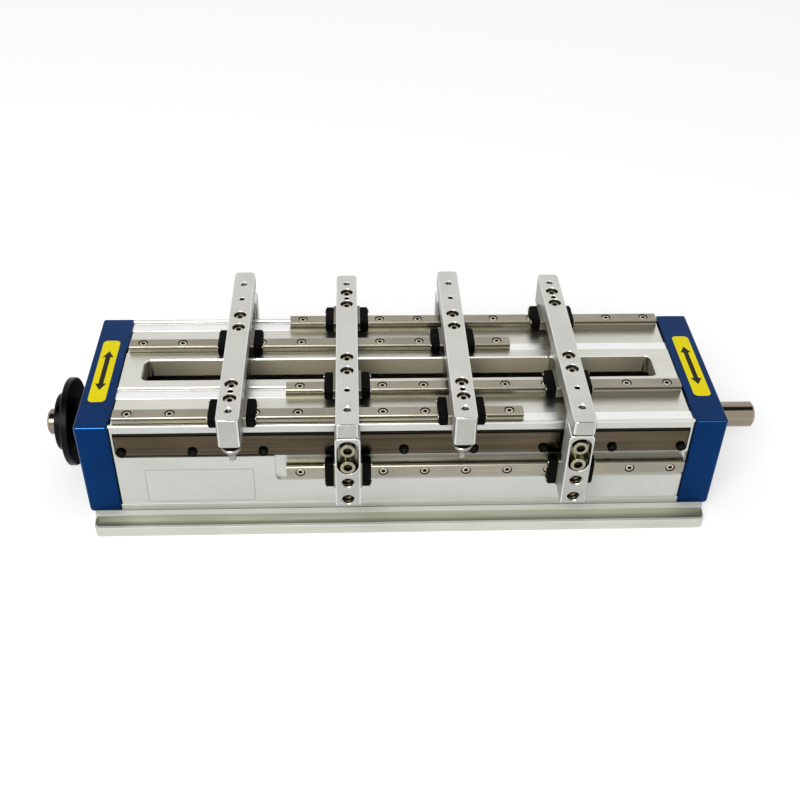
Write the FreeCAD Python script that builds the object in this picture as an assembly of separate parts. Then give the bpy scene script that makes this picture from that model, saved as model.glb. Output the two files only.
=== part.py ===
import FreeCAD, Part
import os
from math import atan, cos, pi, radians, sin

V = FreeCAD.Vector

# Driving dimensions in millimetres. Origin: centre of the base's underside. X runs along the module
# towards the plain shaft end, Y to the rear, Z up.

# Tolerance for picking edges, reach of a cut past an open face, play round a sunk screw head
TINY = 1e-6
CUT_OVER = 1.0
HEAD_GAP = 0.2

# Socket screws
M2_HEAD_R = 1.9
M2_HEAD_H = 2.0
M2_SHANK_R = 1.0
M3_HEAD_R = 2.75
M3_HEAD_H = 3.0
M3_SHANK_R = 1.5
M4_HEAD_R = 3.5
M4_HEAD_H = 4.0
M4_SHANK_R = 2.0
M4_REACH = 8.0

# Carriage
CAR_LENGTH = 16.0
CAR_WIDTH = 12.0
CAR_HEIGHT = 6.0
CAR_GROUND = 1.5
CAR_BLOCK = 10.2
CAR_BLOCK_CHAMFER = 0.4
CAR_GAP = 0.3
CAR_BOLT = 8.0
CAR_TAP_DEPTH = 1.5
CAP_INSET = 0.15
CAP_CHAMFER = 0.9

# Cam follower
ROLLER_R = 2.0
ROLLER_GAP = 0.3
ROLLER_TIP_GAP = 0.5
FOLLOWER_X = 7.6
FOLLOWER_Y = 10.0
FOLLOWER_RISE = 1.4
FOLLOWER_CHAMFER = 0.6
PIN_R = 1.25
PIN_LENGTH = 5.0

# Slot over the drum, then the rail seats to its sides
SLOT_GAP = 1.1
SLOT_LAND = 4.9
SLOT_END_WALL = 8.1
SLOT_CORNER_R = 2.2
SLOT_WIDTH = FOLLOWER_Y + 2 * SLOT_GAP

# Guide rails: four on top, one on each long face
RAIL_WIDTH = 5.0
RAIL_HEIGHT = 3.6
RAIL_HOLE_PITCH = 15.0
RAIL_HOLES = 10
RAIL_HOLE_END = 5.0
RAIL_END_GAP = 1.4
RAIL_GROOVE_LOW = 1.3
RAIL_GROOVE_HIGH = 2.7
RAIL_GROOVE_DEPTH = 0.45
RAIL_CHAMFER = 0.25
RAIL_HEAD_R = 1.4
RAIL_HEAD_H = 1.0
RAIL_HEAD_GAP = 0.4
RAIL_CBORE_DEPTH = 1.6
RAIL_SCREW_REACH = 3.5
RAIL_SIDE_GAP = 3.0
RAIL_LENGTH = (RAIL_HOLES - 1) * RAIL_HOLE_PITCH + 2 * RAIL_HOLE_END
RAIL_CBORE_R = RAIL_HEAD_R + RAIL_HEAD_GAP
RAIL_BORE_R = M2_SHANK_R + HEAD_GAP
SEAT_IN = SLOT_WIDTH / 2 + SLOT_LAND
RAIL_INNER_Y = SEAT_IN + RAIL_WIDTH / 2
RAIL_OUTER_Y = RAIL_INNER_Y + CAR_WIDTH + RAIL_SIDE_GAP
SEAT_OUT = RAIL_OUTER_Y + RAIL_WIDTH / 2

# Body between the end plates
BODY_LENGTH = 208.0
BODY_HEIGHT = 40.2
BODY_LIP_HEIGHT = 3.0
BODY_LIP_STEP = 0.3
BODY_CHAMFER = 0.4
SEAT_WALL = 2.1
SEAT_DROP = 1.0
BASE_HEIGHT = 7.5
BODY_END = BODY_LENGTH / 2
BODY_Z0 = BASE_HEIGHT
BODY_Z1 = BODY_Z0 + BODY_HEIGHT
SEAT_Z = BODY_Z1 - SEAT_DROP
BODY_LIP_HALF = SEAT_OUT + SEAT_WALL
FACE_HALF = BODY_LIP_HALF - BODY_LIP_STEP
SLOT_LENGTH = BODY_LENGTH - 2 * SLOT_END_WALL
RAIL_OFFSET = BODY_END - RAIL_END_GAP - RAIL_LENGTH / 2

# Pocket of a side rail
SIDE_SEAT_DEPTH = 0.8
SIDE_RAIL_DROP = 19.9
POCKET_BELOW = 6.1
POCKET_ABOVE = 5.5
POCKET_RUNOUT = 4.2
POCKET_CORNER_R = 2.0
SIDE_SEAT_Y = FACE_HALF - SIDE_SEAT_DEPTH
SIDE_RAIL_Z = BODY_Z1 - SIDE_RAIL_DROP
POCKET_Z0 = SIDE_RAIL_Z - POCKET_BELOW
POCKET_Z1 = SIDE_RAIL_Z + POCKET_ABOVE
POCKET_END = RAIL_LENGTH / 2 - RAIL_OFFSET + POCKET_RUNOUT

# Cover strip in a recess above the side rail
COVER_END_LAND = 1.0
COVER_TOP_LAND = 4.0
COVER_GAP = 1.1
COVER_GROOVE = 1.5
COVER_THICK = 1.2
COVER_DEPTH = 1.8
COVER_CORNER_R = 2.0
COVER_SCREWS = 9
COVER_SCREW_END = 2.1
COVER_SCREW_RISE = 2.1
COVER_SCREW_REACH = 3.8
COVER_HEAD_R = 1.75
COVER_HEAD_H = 1.0
COVER_HALF = BODY_END - COVER_END_LAND
COVER_Z0 = POCKET_Z1
COVER_Z1 = BODY_Z1 - COVER_TOP_LAND
COVER_FLOOR = FACE_HALF - COVER_DEPTH
COVER_FRONT = COVER_FLOOR + COVER_THICK
COVER_SCREW_Z = COVER_Z0 + COVER_SCREW_RISE
COVER_SCREW_PITCH = 2 * (COVER_HALF - COVER_SCREW_END) / (COVER_SCREWS - 1)

# End plates
PLATE_THICK = 12.0
PLATE_EDGE_R = 1.0
PLATE_TOP_R = 0.6
PLATE_LOW_EDGE = 7.1
PLATE_LOW_RISE = 6.5
PLATE_HIGH_EDGE = 12.6
PLATE_HIGH_DROP = 6.7
PLATE_HALF = BODY_LIP_HALF
PLATE_X0 = BODY_END
PLATE_X1 = PLATE_X0 + PLATE_THICK
PLATE_LOW_YZ = (PLATE_HALF - PLATE_LOW_EDGE, BODY_Z0 + PLATE_LOW_RISE)
PLATE_HIGH_YZ = (PLATE_HALF - PLATE_HIGH_EDGE, BODY_Z1 - PLATE_HIGH_DROP)

# Base: plinth with a cove along both long edges
BASE_END_INSET = 1.9
BASE_MARGIN = 2.3
BASE_LIP_HEIGHT = 4.3
BASE_LIP_FLAT = 0.6
BASE_LIP_R = 0.4
BASE_CORNER_R = 2.2
BASE_BOLT_END = 24.1
BASE_BOLT_EDGE = 7.4
BASE_BOLT_R = 2.0
BASE_BOLT_FLOOR = 1.5
BASE_END = PLATE_X1 - BASE_END_INSET
BASE_COVE = BASE_HEIGHT - BASE_LIP_HEIGHT
BASE_LAND_HALF = BODY_LIP_HALF + BASE_MARGIN
BASE_HALF = BASE_LAND_HALF + BASE_COVE + BASE_LIP_FLAT
BASE_BOLT_X = BASE_END - BASE_BOLT_END
BASE_BOLT_Y = BASE_LAND_HALF - BASE_BOLT_EDGE
BASE_BOLT_DEPTH = BASE_HEIGHT - BASE_BOLT_FLOOR

# Disc with hub on the left shaft end
SHAFT_R = 5.0
DISC_GAP = 1.5
BOSS_WALL = 4.0
BOSS_LENGTH = 6.4
DISC_THICK = 2.9
DISC_RIM = 6.1
DISC_CHAMFER = 0.4
DISC_NOTCH_HALF = 1.5
DISC_NOTCH_DEPTH = 3.0
HUB_WALL = 5.9
HUB_LENGTH = 3.7
GRUB_R = 1.25
GRUB_INSET = 0.8
GRUB_DEG = (65.0, 155.0)
HUB_R = SHAFT_R + HUB_WALL
DISC_R = HUB_R + DISC_RIM
BOSS_R = SHAFT_R + BOSS_WALL
BOSS_X0 = -PLATE_X1 - DISC_GAP
DISC_X0 = BOSS_X0 - BOSS_LENGTH
DISC_X1 = DISC_X0 - DISC_THICK
HUB_X1 = DISC_X1 - HUB_LENGTH

# Drive shaft, its bearings and its retaining ring
SHAFT_TIP = 4.1
SHAFT_REACH = 23.0
SHAFT_CHAMFER = 0.8
RING_GAP = 0.7
RING_WIDTH = 1.0
RING_GROOVE = 0.4
RING_RISE = 1.8
RING_SPLIT_HALF = 1.6
BEARING_WALL = 4.5
BEARING_WIDTH = 5.0
BEARING_INSET = 0.5
BEARING_RUNNING = 0.03
BEARING_OUTER_RACE = 1.3
BEARING_INNER_RACE = 1.4
BEARING_SHIELD_DROP = 0.4
PLATE_BORE_GAP = 2.0
SHAFT_LEFT = HUB_X1 - SHAFT_TIP
SHAFT_RIGHT = PLATE_X1 + SHAFT_REACH
RING_X = PLATE_X1 + RING_GAP
BEARING_R = SHAFT_R + BEARING_WALL
PLATE_BORE_R = SHAFT_R + PLATE_BORE_GAP

# Barrel cam
DRUM_R = 14.0
DRUM_NECK_WALL = 3.0
DRUM_NECK_LENGTH = 5.5
DRUM_END_GAP = 0.5
DRUM_CLEARANCE = 4.1
DRUM_FLOOR_GAP = 1.7
GROOVE_DEPTH = 3.5
GROOVE_END_DEG = 13.0
AXIS_Z = BODY_Z0 + DRUM_R + DRUM_FLOOR_GAP
DRUM_NECK_END = BODY_END - DRUM_END_GAP
DRUM_HALF = DRUM_NECK_END - DRUM_NECK_LENGTH

# Arm bar
ARM_WIDTH = 8.0
ARM_THICK = 7.5
ARM_PAD_STEP = 1.7
ARM_CORNER_R = 1.5
ARM_EDGE = 0.35
MOUTH_CHAMFER = 0.25
ARM_OVERHANG = 1.5
ARM_END_WALL = 5.8
END_BLOCK_GAP = 1.1
END_BLOCK_DROP = 4.8
TOOL_HOLE_EDGE = 3.4
TOOL_HOLE_R = 1.65
TOOL_HOLE_DEPTH = 5.0
DOWEL_R = 1.25
DOWEL_DEPTH = 4.0
ARM_CBORE_PLAY = 0.3
ARM_CBORE_DEPTH = 3.0
CAR_EDGE_Y = RAIL_OUTER_Y + CAR_WIDTH / 2
ARM_PAD = SEAT_Z + CAR_HEIGHT
ARM_UNDER = ARM_PAD + ARM_PAD_STEP
ARM_TOP = ARM_PAD + ARM_THICK
END_BLOCK_Y = CAR_EDGE_Y + END_BLOCK_GAP
END_BLOCK_Z = ARM_PAD - END_BLOCK_DROP
TOOL_HOLE_Y = END_BLOCK_Y + TOOL_HOLE_EDGE
ARM_FREE_END = TOOL_HOLE_Y + ARM_END_WALL
ARM_CBORE_R = M2_HEAD_R + ARM_CBORE_PLAY

# Leg bracket on the side rail's carriage
LEG_WIDTH = 8.8
LEG_THICK = 8.0
LEG_BELOW = 7.0
LEG_TOP_GAP = 2.1
LEG_TOP_R = 1.6
LEG_CHAMFER = 0.35
LEG_CBORE_PLAY = 0.3
LEG_CBORE_DEPTH = 4.5
LEG_SCREW_PITCH = 7.6
LEG_SCREW_DROP = 0.8
LEG_POCKET_PLAY = 0.05
LEG_POCKET_RAISE = 0.5
LEG_POCKET_DEPTH = 3.2
FLANGE_GAP = 0.7
FLANGE_BELOW = 7.4
LEG_BACK = -(SIDE_SEAT_Y + CAR_HEIGHT)
LEG_FRONT = LEG_BACK - LEG_THICK
LEG_Z0 = SIDE_RAIL_Z - LEG_BELOW
LEG_Z1 = ARM_UNDER - LEG_TOP_GAP
LEG_CBORE_R = M2_HEAD_R + LEG_CBORE_PLAY
LEG_POCKET_R = M3_HEAD_R + LEG_SCREW_DROP + LEG_POCKET_PLAY
LEG_POCKET_Z = (SIDE_RAIL_Z + CAR_BOLT / 2 + LEG_CBORE_R + LEG_Z1) / 2 + LEG_POCKET_RAISE
LEG_SCREW_Z = LEG_POCKET_Z - LEG_SCREW_DROP
ARM_LEG_END = LEG_FRONT - ARM_OVERHANG
FLANGE_IN = -CAR_EDGE_Y - FLANGE_GAP
FLANGE_Z0 = LEG_SCREW_Z - FLANGE_BELOW

# Hose fitting under the free end of the arm
FIT_BODY_R = 3.3
FIT_BODY_H = 1.8
FIT_CONE_H = 5.2
FIT_NECK_R = 2.15
FIT_NUB_R = 1.9
FIT_NUB_H = 3.0
FIT_BORE_R = 0.7
FIT_THREAD_R = 2.0
FIT_THREAD_H = 3.0

# Sliders: spread evenly about the middle, with a pitch that grows in proportion to the drum's turn
SLIDER_COUNT = 4
TRAVEL_END_ROOM = 14.0
ARM_MIN_GAP = 1.0
PITCH_REST = 40.4
TURN_DEG = 320.0
PITCH_MIN = ARM_WIDTH + ARM_MIN_GAP
PITCH_MAX = 2 * (BODY_END - TRAVEL_END_ROOM) / (SLIDER_COUNT - 1)
PITCH_PER_DEG = (PITCH_MAX - PITCH_MIN) / TURN_DEG


def box(x0, x1, y0, y1, z0, z1):
    return Part.makeBox(x1 - x0, y1 - y0, z1 - z0, V(x0, y0, z0))


def rod(radius, start, end):
    line = end.sub(start)
    return Part.makeCylinder(radius, line.Length, start, line)


# Cone that chamfers the mouth of a counterbore
def mouth(radius, place, inward):
    return Part.makeCone(radius + MOUTH_CHAMFER, radius, MOUTH_CHAMFER, place, inward)


def prism_x(points, x0, x1):
    wire = Part.makePolygon([V(x0, y, z) for y, z in points + points[:1]])
    return Part.Face(wire).extrude(V(x1 - x0, 0, 0))


def turned(shape):
    copy = shape.copy()
    copy.rotate(V(0, 0, 0), V(0, 0, 1), 180)
    return copy


def moved(shape, x, y, z):
    copy = shape.copy()
    copy.translate(V(x, y, z))
    return copy


def tipped(shape):
    copy = shape.copy()
    copy.rotate(V(0, 0, 0), V(1, 0, 0), 90)
    return copy


def edges_along(shape, axis, test):
    found = []
    for edge in shape.Edges:
        ends = [v.Point for v in edge.Vertexes]
        if len(ends) == 2 and abs(abs((ends[1] - ends[0]).normalize().dot(axis)) - 1) < TINY:
            if test(edge.CenterOfMass):
                found.append(edge)
    return found


def fuse(shapes):
    return shapes[0].multiFuse(shapes[1:]).removeSplitter()


def save(name, shape):
    shape.exportStep("parts/" + name + ".step")


# Base
def base():
    half = BASE_LAND_HALF
    lip = BASE_HALF
    cove_end = half + BASE_COVE
    top = BASE_HEIGHT
    mid = V(0, cove_end - BASE_COVE * cos(pi / 4), top - BASE_COVE * cos(pi / 4))
    right = [V(0, 0, 0), V(0, lip, 0), V(0, lip, BASE_LIP_HEIGHT), V(0, cove_end, BASE_LIP_HEIGHT)]
    edges = [Part.makeLine(a, b) for a, b in zip(right, right[1:])]
    edges.append(Part.Arc(V(0, cove_end, BASE_LIP_HEIGHT), mid, V(0, half, top)).toShape())
    edges.append(Part.makeLine(V(0, half, top), V(0, 0, top)))
    edges.append(Part.makeLine(V(0, 0, top), V(0, 0, 0)))
    side = Part.Face(Part.Wire(edges)).extrude(V(2 * BASE_END, 0, 0))
    side.translate(V(-BASE_END, 0, 0))
    plan = box(-BASE_END, BASE_END, -lip, lip, 0, top)
    plan = plan.makeFillet(BASE_CORNER_R, edges_along(plan, V(0, 0, 1), lambda c: True))
    shape = fuse([side, turned(side)]).common(plan)
    rims = edges_along(shape, V(1, 0, 0), lambda c: abs(c.z - BASE_LIP_HEIGHT) < TINY)
    shape = shape.makeFillet(BASE_LIP_R, [e for e in rims if abs(e.CenterOfMass.y) > cove_end + TINY])
    for x in (-BASE_BOLT_X, BASE_BOLT_X):
        for y in (-BASE_BOLT_Y, BASE_BOLT_Y):
            shape = shape.cut(rod(BASE_BOLT_R, V(x, y, 0), V(x, y, BASE_BOLT_DEPTH)))
    return shape


# Body: rail seats, slot over the drum bore, side rail pockets and cover recesses
def side_cuts():
    front = -FACE_HALF - CUT_OVER
    pocket = box(-POCKET_END, BODY_END, front, -SIDE_SEAT_Y, POCKET_Z0, POCKET_Z1)
    corner = edges_along(pocket, V(0, 1, 0), lambda c: c.x < 0 and c.z < SIDE_RAIL_Z)
    pocket = pocket.makeFillet(POCKET_CORNER_R, corner)
    recess = box(-COVER_HALF, COVER_HALF, front, -COVER_FLOOR, COVER_Z0, COVER_Z1)
    corners = edges_along(recess, V(0, 1, 0), lambda c: c.z < COVER_SCREW_Z)
    recess = recess.makeFillet(COVER_CORNER_R, corners)
    inside = -COVER_FLOOR + COVER_GROOVE
    groove = box(-COVER_HALF, COVER_HALF, front, inside, COVER_Z1 - COVER_GAP, COVER_Z1)
    lip_z = BODY_Z0 + BODY_LIP_HEIGHT
    relief = box(-BODY_END, BODY_END, -BODY_LIP_HALF, -FACE_HALF, lip_z, BODY_Z1)
    return [relief, pocket, recess, groove]


def body():
    end = BODY_END
    shape = box(-end, end, -BODY_LIP_HALF, BODY_LIP_HALF, BODY_Z0, BODY_Z1)
    cuts = side_cuts()
    cuts += [turned(cut) for cut in cuts]
    for side in (-1, 1):
        low, high = sorted((side * SEAT_IN, side * SEAT_OUT))
        cuts.append(box(-end, end, low, high, SEAT_Z, BODY_Z1))
    slot = box(-SLOT_LENGTH / 2, SLOT_LENGTH / 2, -SLOT_WIDTH / 2, SLOT_WIDTH / 2, AXIS_Z, BODY_Z1)
    cuts.append(slot.makeFillet(SLOT_CORNER_R, edges_along(slot, V(0, 0, 1), lambda c: True)))
    bore_r = DRUM_R + DRUM_CLEARANCE
    cuts.append(rod(bore_r, V(-end, 0, AXIS_Z), V(end, 0, AXIS_Z)))
    cuts.append(box(-end, end, -bore_r, bore_r, BODY_Z0, AXIS_Z))
    for screw in rail_screws().Solids + cover_screws().Solids + plate_screws().Solids:
        cuts.append(screw)
    shape = shape.cut(cuts)
    top = [e for e in shape.Edges if abs(e.BoundBox.ZMin - BODY_Z1) < TINY]
    top = [e for e in top if abs(e.CenterOfMass.x) < end - TINY]
    return shape.makeChamfer(BODY_CHAMFER, top)


# End plate, built for the left side
def plate():
    shape = box(-PLATE_X1, -PLATE_X0, -PLATE_HALF, PLATE_HALF, BODY_Z0, BODY_Z1)
    shape = shape.makeFillet(PLATE_EDGE_R, edges_along(shape, V(0, 0, 1), lambda c: True))
    top = [e for e in shape.Edges if abs(e.BoundBox.ZMin - BODY_Z1) < TINY]
    shape = shape.makeFillet(PLATE_TOP_R, top)
    seat = -PLATE_X1 + BEARING_INSET + BEARING_WIDTH
    cuts = [rod(PLATE_BORE_R, V(-PLATE_X1, 0, AXIS_Z), V(-PLATE_X0, 0, AXIS_Z))]
    cuts.append(rod(BEARING_R, V(-PLATE_X1, 0, AXIS_Z), V(seat, 0, AXIS_Z)))
    for y, z in (PLATE_LOW_YZ, PLATE_HIGH_YZ):
        for side in (-y, y):
            x = -PLATE_X1 + M4_HEAD_H + HEAD_GAP
            cuts.append(rod(M4_HEAD_R + HEAD_GAP, V(-PLATE_X1, side, z), V(x, side, z)))
            cuts.append(rod(M4_SHANK_R, V(-PLATE_X1, side, z), V(-PLATE_X0, side, z)))
    return shape.cut(cuts)


def plate_screws():
    screws = []
    seat = -PLATE_X1 + M4_HEAD_H + HEAD_GAP
    for y, z in (PLATE_LOW_YZ, PLATE_HIGH_YZ):
        for side in (-y, y):
            head = rod(M4_HEAD_R, V(seat - M4_HEAD_H, side, z), V(seat, side, z))
            shank = rod(M4_SHANK_R, V(seat, side, z), V(-PLATE_X0 + M4_REACH, side, z))
            screws.append(fuse([head, shank]))
    return Part.makeCompound(screws + [turned(s) for s in screws])


def bearing():
    x0 = -PLATE_X1 + BEARING_INSET
    ring = rod(BEARING_R, V(x0, 0, AXIS_Z), V(x0 + BEARING_WIDTH, 0, AXIS_Z))
    shield = x0 + BEARING_SHIELD_DROP
    step = rod(BEARING_R - BEARING_OUTER_RACE, V(x0, 0, AXIS_Z), V(shield, 0, AXIS_Z))
    step = step.cut(rod(SHAFT_R + BEARING_INNER_RACE, V(x0, 0, AXIS_Z), V(shield, 0, AXIS_Z)))
    bore = rod(SHAFT_R + BEARING_RUNNING, V(x0, 0, AXIS_Z), V(x0 + BEARING_WIDTH, 0, AXIS_Z))
    return ring.cut([bore, step])


# Guide rail lying on Z = 0, centred on X = 0
def rail():
    h = RAIL_WIDTH / 2
    low = RAIL_GROOVE_LOW
    high = RAIL_GROOVE_HIGH
    deep = RAIL_GROOVE_DEPTH
    right = [(h, 0), (h, low), (h - deep, low + deep), (h - deep, high - deep), (h, high)]
    right += [(h, RAIL_HEIGHT - RAIL_CHAMFER), (h - RAIL_CHAMFER, RAIL_HEIGHT)]
    left = [(-y, z) for y, z in reversed(right)]
    shape = prism_x(right + left, -RAIL_LENGTH / 2, RAIL_LENGTH / 2)
    cuts = []
    for x in rail_hole_x():
        cuts.append(rod(RAIL_BORE_R, V(x, 0, 0), V(x, 0, RAIL_HEIGHT)))
        cuts.append(rod(RAIL_CBORE_R, V(x, 0, RAIL_HEIGHT - RAIL_CBORE_DEPTH), V(x, 0, RAIL_HEIGHT)))
    return shape.cut(cuts)


def rail_hole_x():
    return [(i - (RAIL_HOLES - 1) / 2) * RAIL_HOLE_PITCH for i in range(RAIL_HOLES)]


def rail_screw_row():
    screws = []
    seat = RAIL_HEIGHT - RAIL_CBORE_DEPTH
    for x in rail_hole_x():
        head = rod(RAIL_HEAD_R, V(x, 0, seat), V(x, 0, seat + RAIL_HEAD_H))
        shank = rod(M2_SHANK_R, V(x, 0, -RAIL_SCREW_REACH), V(x, 0, seat))
        screws.append(fuse([head, shank]))
    return Part.makeCompound(screws)


# The six rail places: rails 1, 3 and 5 and their turned twins 4, 2 and 6
def on_rails(shape):
    outer = moved(shape, RAIL_OFFSET, RAIL_OUTER_Y, SEAT_Z)
    inner = moved(shape, RAIL_OFFSET, -RAIL_INNER_Y, SEAT_Z)
    side = moved(tipped(shape), RAIL_OFFSET, -SIDE_SEAT_Y, SIDE_RAIL_Z)
    return [outer, turned(inner), inner, turned(outer), side, turned(side)]


def rail_screws():
    solids = []
    for row in on_rails(rail_screw_row()):
        solids += row.Solids
    return Part.makeCompound(solids)


# Cover strip for the front face
def cover_x():
    return [(i - (COVER_SCREWS - 1) / 2) * COVER_SCREW_PITCH for i in range(COVER_SCREWS)]


def cover():
    front = -COVER_FRONT
    shape = box(-COVER_HALF, COVER_HALF, front, -COVER_FLOOR, COVER_Z0, COVER_Z1 - COVER_GAP)
    low = edges_along(shape, V(0, 1, 0), lambda c: c.z < COVER_SCREW_Z)
    shape = shape.makeFillet(COVER_CORNER_R, low)
    holes = []
    for x in cover_x():
        holes.append(rod(M2_SHANK_R, V(x, front, COVER_SCREW_Z), V(x, -COVER_FLOOR, COVER_SCREW_Z)))
    return shape.cut(holes)


def cover_screws():
    screws = []
    front = -COVER_FRONT
    tip = -COVER_FLOOR + COVER_SCREW_REACH
    for x in cover_x():
        head = rod(COVER_HEAD_R, V(x, front - COVER_HEAD_H, COVER_SCREW_Z), V(x, front, COVER_SCREW_Z))
        shank = rod(M2_SHANK_R, V(x, front, COVER_SCREW_Z), V(x, tip, COVER_SCREW_Z))
        screws.append(fuse([head, shank]))
    return Part.makeCompound(screws + [turned(s) for s in screws])


# Drive shaft with chamfered ends
def shaft():
    shape = rod(SHAFT_R, V(SHAFT_LEFT, 0, AXIS_Z), V(SHAFT_RIGHT, 0, AXIS_Z))
    ends = [e for e in shape.Edges if e.BoundBox.XLength < TINY]
    shape = shape.makeChamfer(SHAFT_CHAMFER, ends)
    return shape.cut(ring_blank(SHAFT_R + CUT_OVER))


# Open retaining ring in the shaft groove outside the right bearing
def ring_blank(radius):
    ring = rod(radius, V(RING_X, 0, AXIS_Z), V(RING_X + RING_WIDTH, 0, AXIS_Z))
    return ring.cut(rod(SHAFT_R - RING_GROOVE, V(RING_X, 0, AXIS_Z), V(RING_X + RING_WIDTH, 0, AXIS_Z)))


def retaining_ring():
    radius = SHAFT_R + RING_RISE
    low = AXIS_Z - radius
    gap = box(RING_X, RING_X + RING_WIDTH, -RING_SPLIT_HALF, RING_SPLIT_HALF, low, AXIS_Z)
    return ring_blank(radius).cut(gap)


# Distance of a slider from the middle, in pitches
def pitch_factor(number):
    return number - (SLIDER_COUNT + 1) / 2


def slider_numbers():
    return range(1, SLIDER_COUNT + 1)


# Barrel cam: each groove is a radial slot swept by the screw motion of its follower
def groove(factor):
    lead = factor * PITCH_PER_DEG * 360
    bottom = DRUM_R - GROOVE_DEPTH
    half = (ROLLER_R + ROLLER_GAP) / cos(atan(abs(lead) / (2 * pi * bottom)))
    low = (PITCH_MIN - PITCH_REST) / PITCH_PER_DEG - GROOVE_END_DEG
    high = (PITCH_MAX - PITCH_REST) / PITCH_PER_DEG + GROOVE_END_DEG
    travel = abs(lead) * (high - low) / 360
    helix = Part.makeHelix(abs(lead), travel, DRUM_R, 0, factor > 0)
    top = DRUM_R + CUT_OVER
    corners = [V(bottom, 0, -half), V(top, 0, -half), V(top, 0, half), V(bottom, 0, half)]
    profile = Part.makePolygon(corners + corners[:1])
    shape = Part.Wire(helix.Edges).makePipeShell([profile], True, True)
    shape.rotate(V(0, 0, 0), V(0, 1, 0), 90)
    # Start of the sweep: the helix begins on -Z at X = 0 and must stand at the follower's place
    start_turn = high if factor < 0 else low
    start_x = factor * (PITCH_REST + PITCH_PER_DEG * start_turn)
    shape.rotate(V(0, 0, 0), V(1, 0, 0), 180 - start_turn)
    shape.translate(V(start_x, 0, AXIS_Z))
    return shape


def cam_drum():
    neck = DRUM_NECK_END
    neck_r = SHAFT_R + DRUM_NECK_WALL
    drum = rod(DRUM_R, V(-DRUM_HALF, 0, AXIS_Z), V(DRUM_HALF, 0, AXIS_Z))
    drum = fuse([drum, rod(neck_r, V(-neck, 0, AXIS_Z), V(neck, 0, AXIS_Z))])
    drum = drum.cut(rod(SHAFT_R, V(-neck, 0, AXIS_Z), V(neck, 0, AXIS_Z)))
    for number in slider_numbers():
        drum = drum.cut(groove(pitch_factor(number)))
    return drum


# Disc with hub and rear boss on the left shaft end
def chamfered_disc(radius, x0, x1):
    shape = rod(radius, V(x0, 0, AXIS_Z), V(x1, 0, AXIS_Z))
    return shape.makeChamfer(DISC_CHAMFER, [e for e in shape.Edges if e.BoundBox.XLength < TINY])


def disc():
    boss = rod(BOSS_R, V(DISC_X1, 0, AXIS_Z), V(BOSS_X0, 0, AXIS_Z))
    shape = fuse([chamfered_disc(HUB_R, HUB_X1, DISC_X0), chamfered_disc(DISC_R, DISC_X1, DISC_X0), boss])
    cuts = [rod(SHAFT_R, V(HUB_X1, 0, AXIS_Z), V(BOSS_X0, 0, AXIS_Z))]
    rim = AXIS_Z - DISC_R
    notch_z = (rim - DISC_NOTCH_DEPTH, rim + DISC_NOTCH_DEPTH)
    cuts.append(box(DISC_X1, DISC_X0, -DISC_NOTCH_HALF, DISC_NOTCH_HALF, *notch_z))
    cuts += grub_rods(0, HUB_R + GRUB_R).Solids
    return shape.cut(cuts)


# Rods along the grub screws, each at its angle up from the front
def grub_rods(inner, outer):
    x = (DISC_X1 + HUB_X1) / 2
    rods = []
    for angle in GRUB_DEG:
        way = V(0, -cos(radians(angle)), sin(radians(angle)))
        centre = V(x, 0, AXIS_Z)
        rods.append(rod(GRUB_R, centre + way * inner, centre + way * outer))
    return Part.makeCompound(rods)


# Carriage over a rail lying on Z = 0
def channel(x0, x1):
    half = RAIL_WIDTH / 2 + CAR_GAP
    return box(x0, x1, -half, half, 0, RAIL_HEIGHT + CAR_GAP)


def carriage_block():
    h = CAR_BLOCK / 2
    w = CAR_WIDTH / 2
    shape = box(-h, h, -w, w, CAR_GROUND, CAR_HEIGHT)
    shape = shape.makeChamfer(CAR_BLOCK_CHAMFER, edges_along(shape, V(1, 0, 0), lambda c: True))
    cuts = [channel(-h, h)]
    for y in (-CAR_BOLT / 2, CAR_BOLT / 2):
        cuts.append(rod(M2_SHANK_R, V(0, y, CAR_HEIGHT - CAR_TAP_DEPTH), V(0, y, CAR_HEIGHT)))
    return shape.cut(cuts)


def carriage_caps():
    caps = []
    w = CAR_WIDTH / 2 - CAP_INSET
    for side in (-1, 1):
        x0, x1 = sorted((side * CAR_BLOCK / 2, side * CAR_LENGTH / 2))
        cap = box(x0, x1, -w, w, CAR_GROUND, CAR_HEIGHT - CAP_INSET)
        outer = edges_along(cap, V(1, 0, 0), lambda c: c.z > RAIL_HEIGHT)
        cap = cap.makeChamfer(CAP_CHAMFER, outer)
        caps.append(cap.cut(channel(x0, x1)))
    return Part.makeCompound(caps)


# The three carriage places of a slider whose leg is at the front
def on_carriages(shape):
    outer = moved(shape, 0, RAIL_OUTER_Y, SEAT_Z)
    inner = moved(shape, 0, -RAIL_INNER_Y, SEAT_Z)
    side = moved(tipped(shape), 0, -SIDE_SEAT_Y, SIDE_RAIL_Z)
    solids = []
    for place in (outer, inner, side):
        solids += place.Solids
    return Part.makeCompound(solids)


# Arm bar with pads on its carriages, a drop flange for the leg and a deep free end
def arm_bolt_y():
    return [c + d for c in (RAIL_OUTER_Y, -RAIL_INNER_Y) for d in (-CAR_BOLT / 2, CAR_BOLT / 2)]


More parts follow.
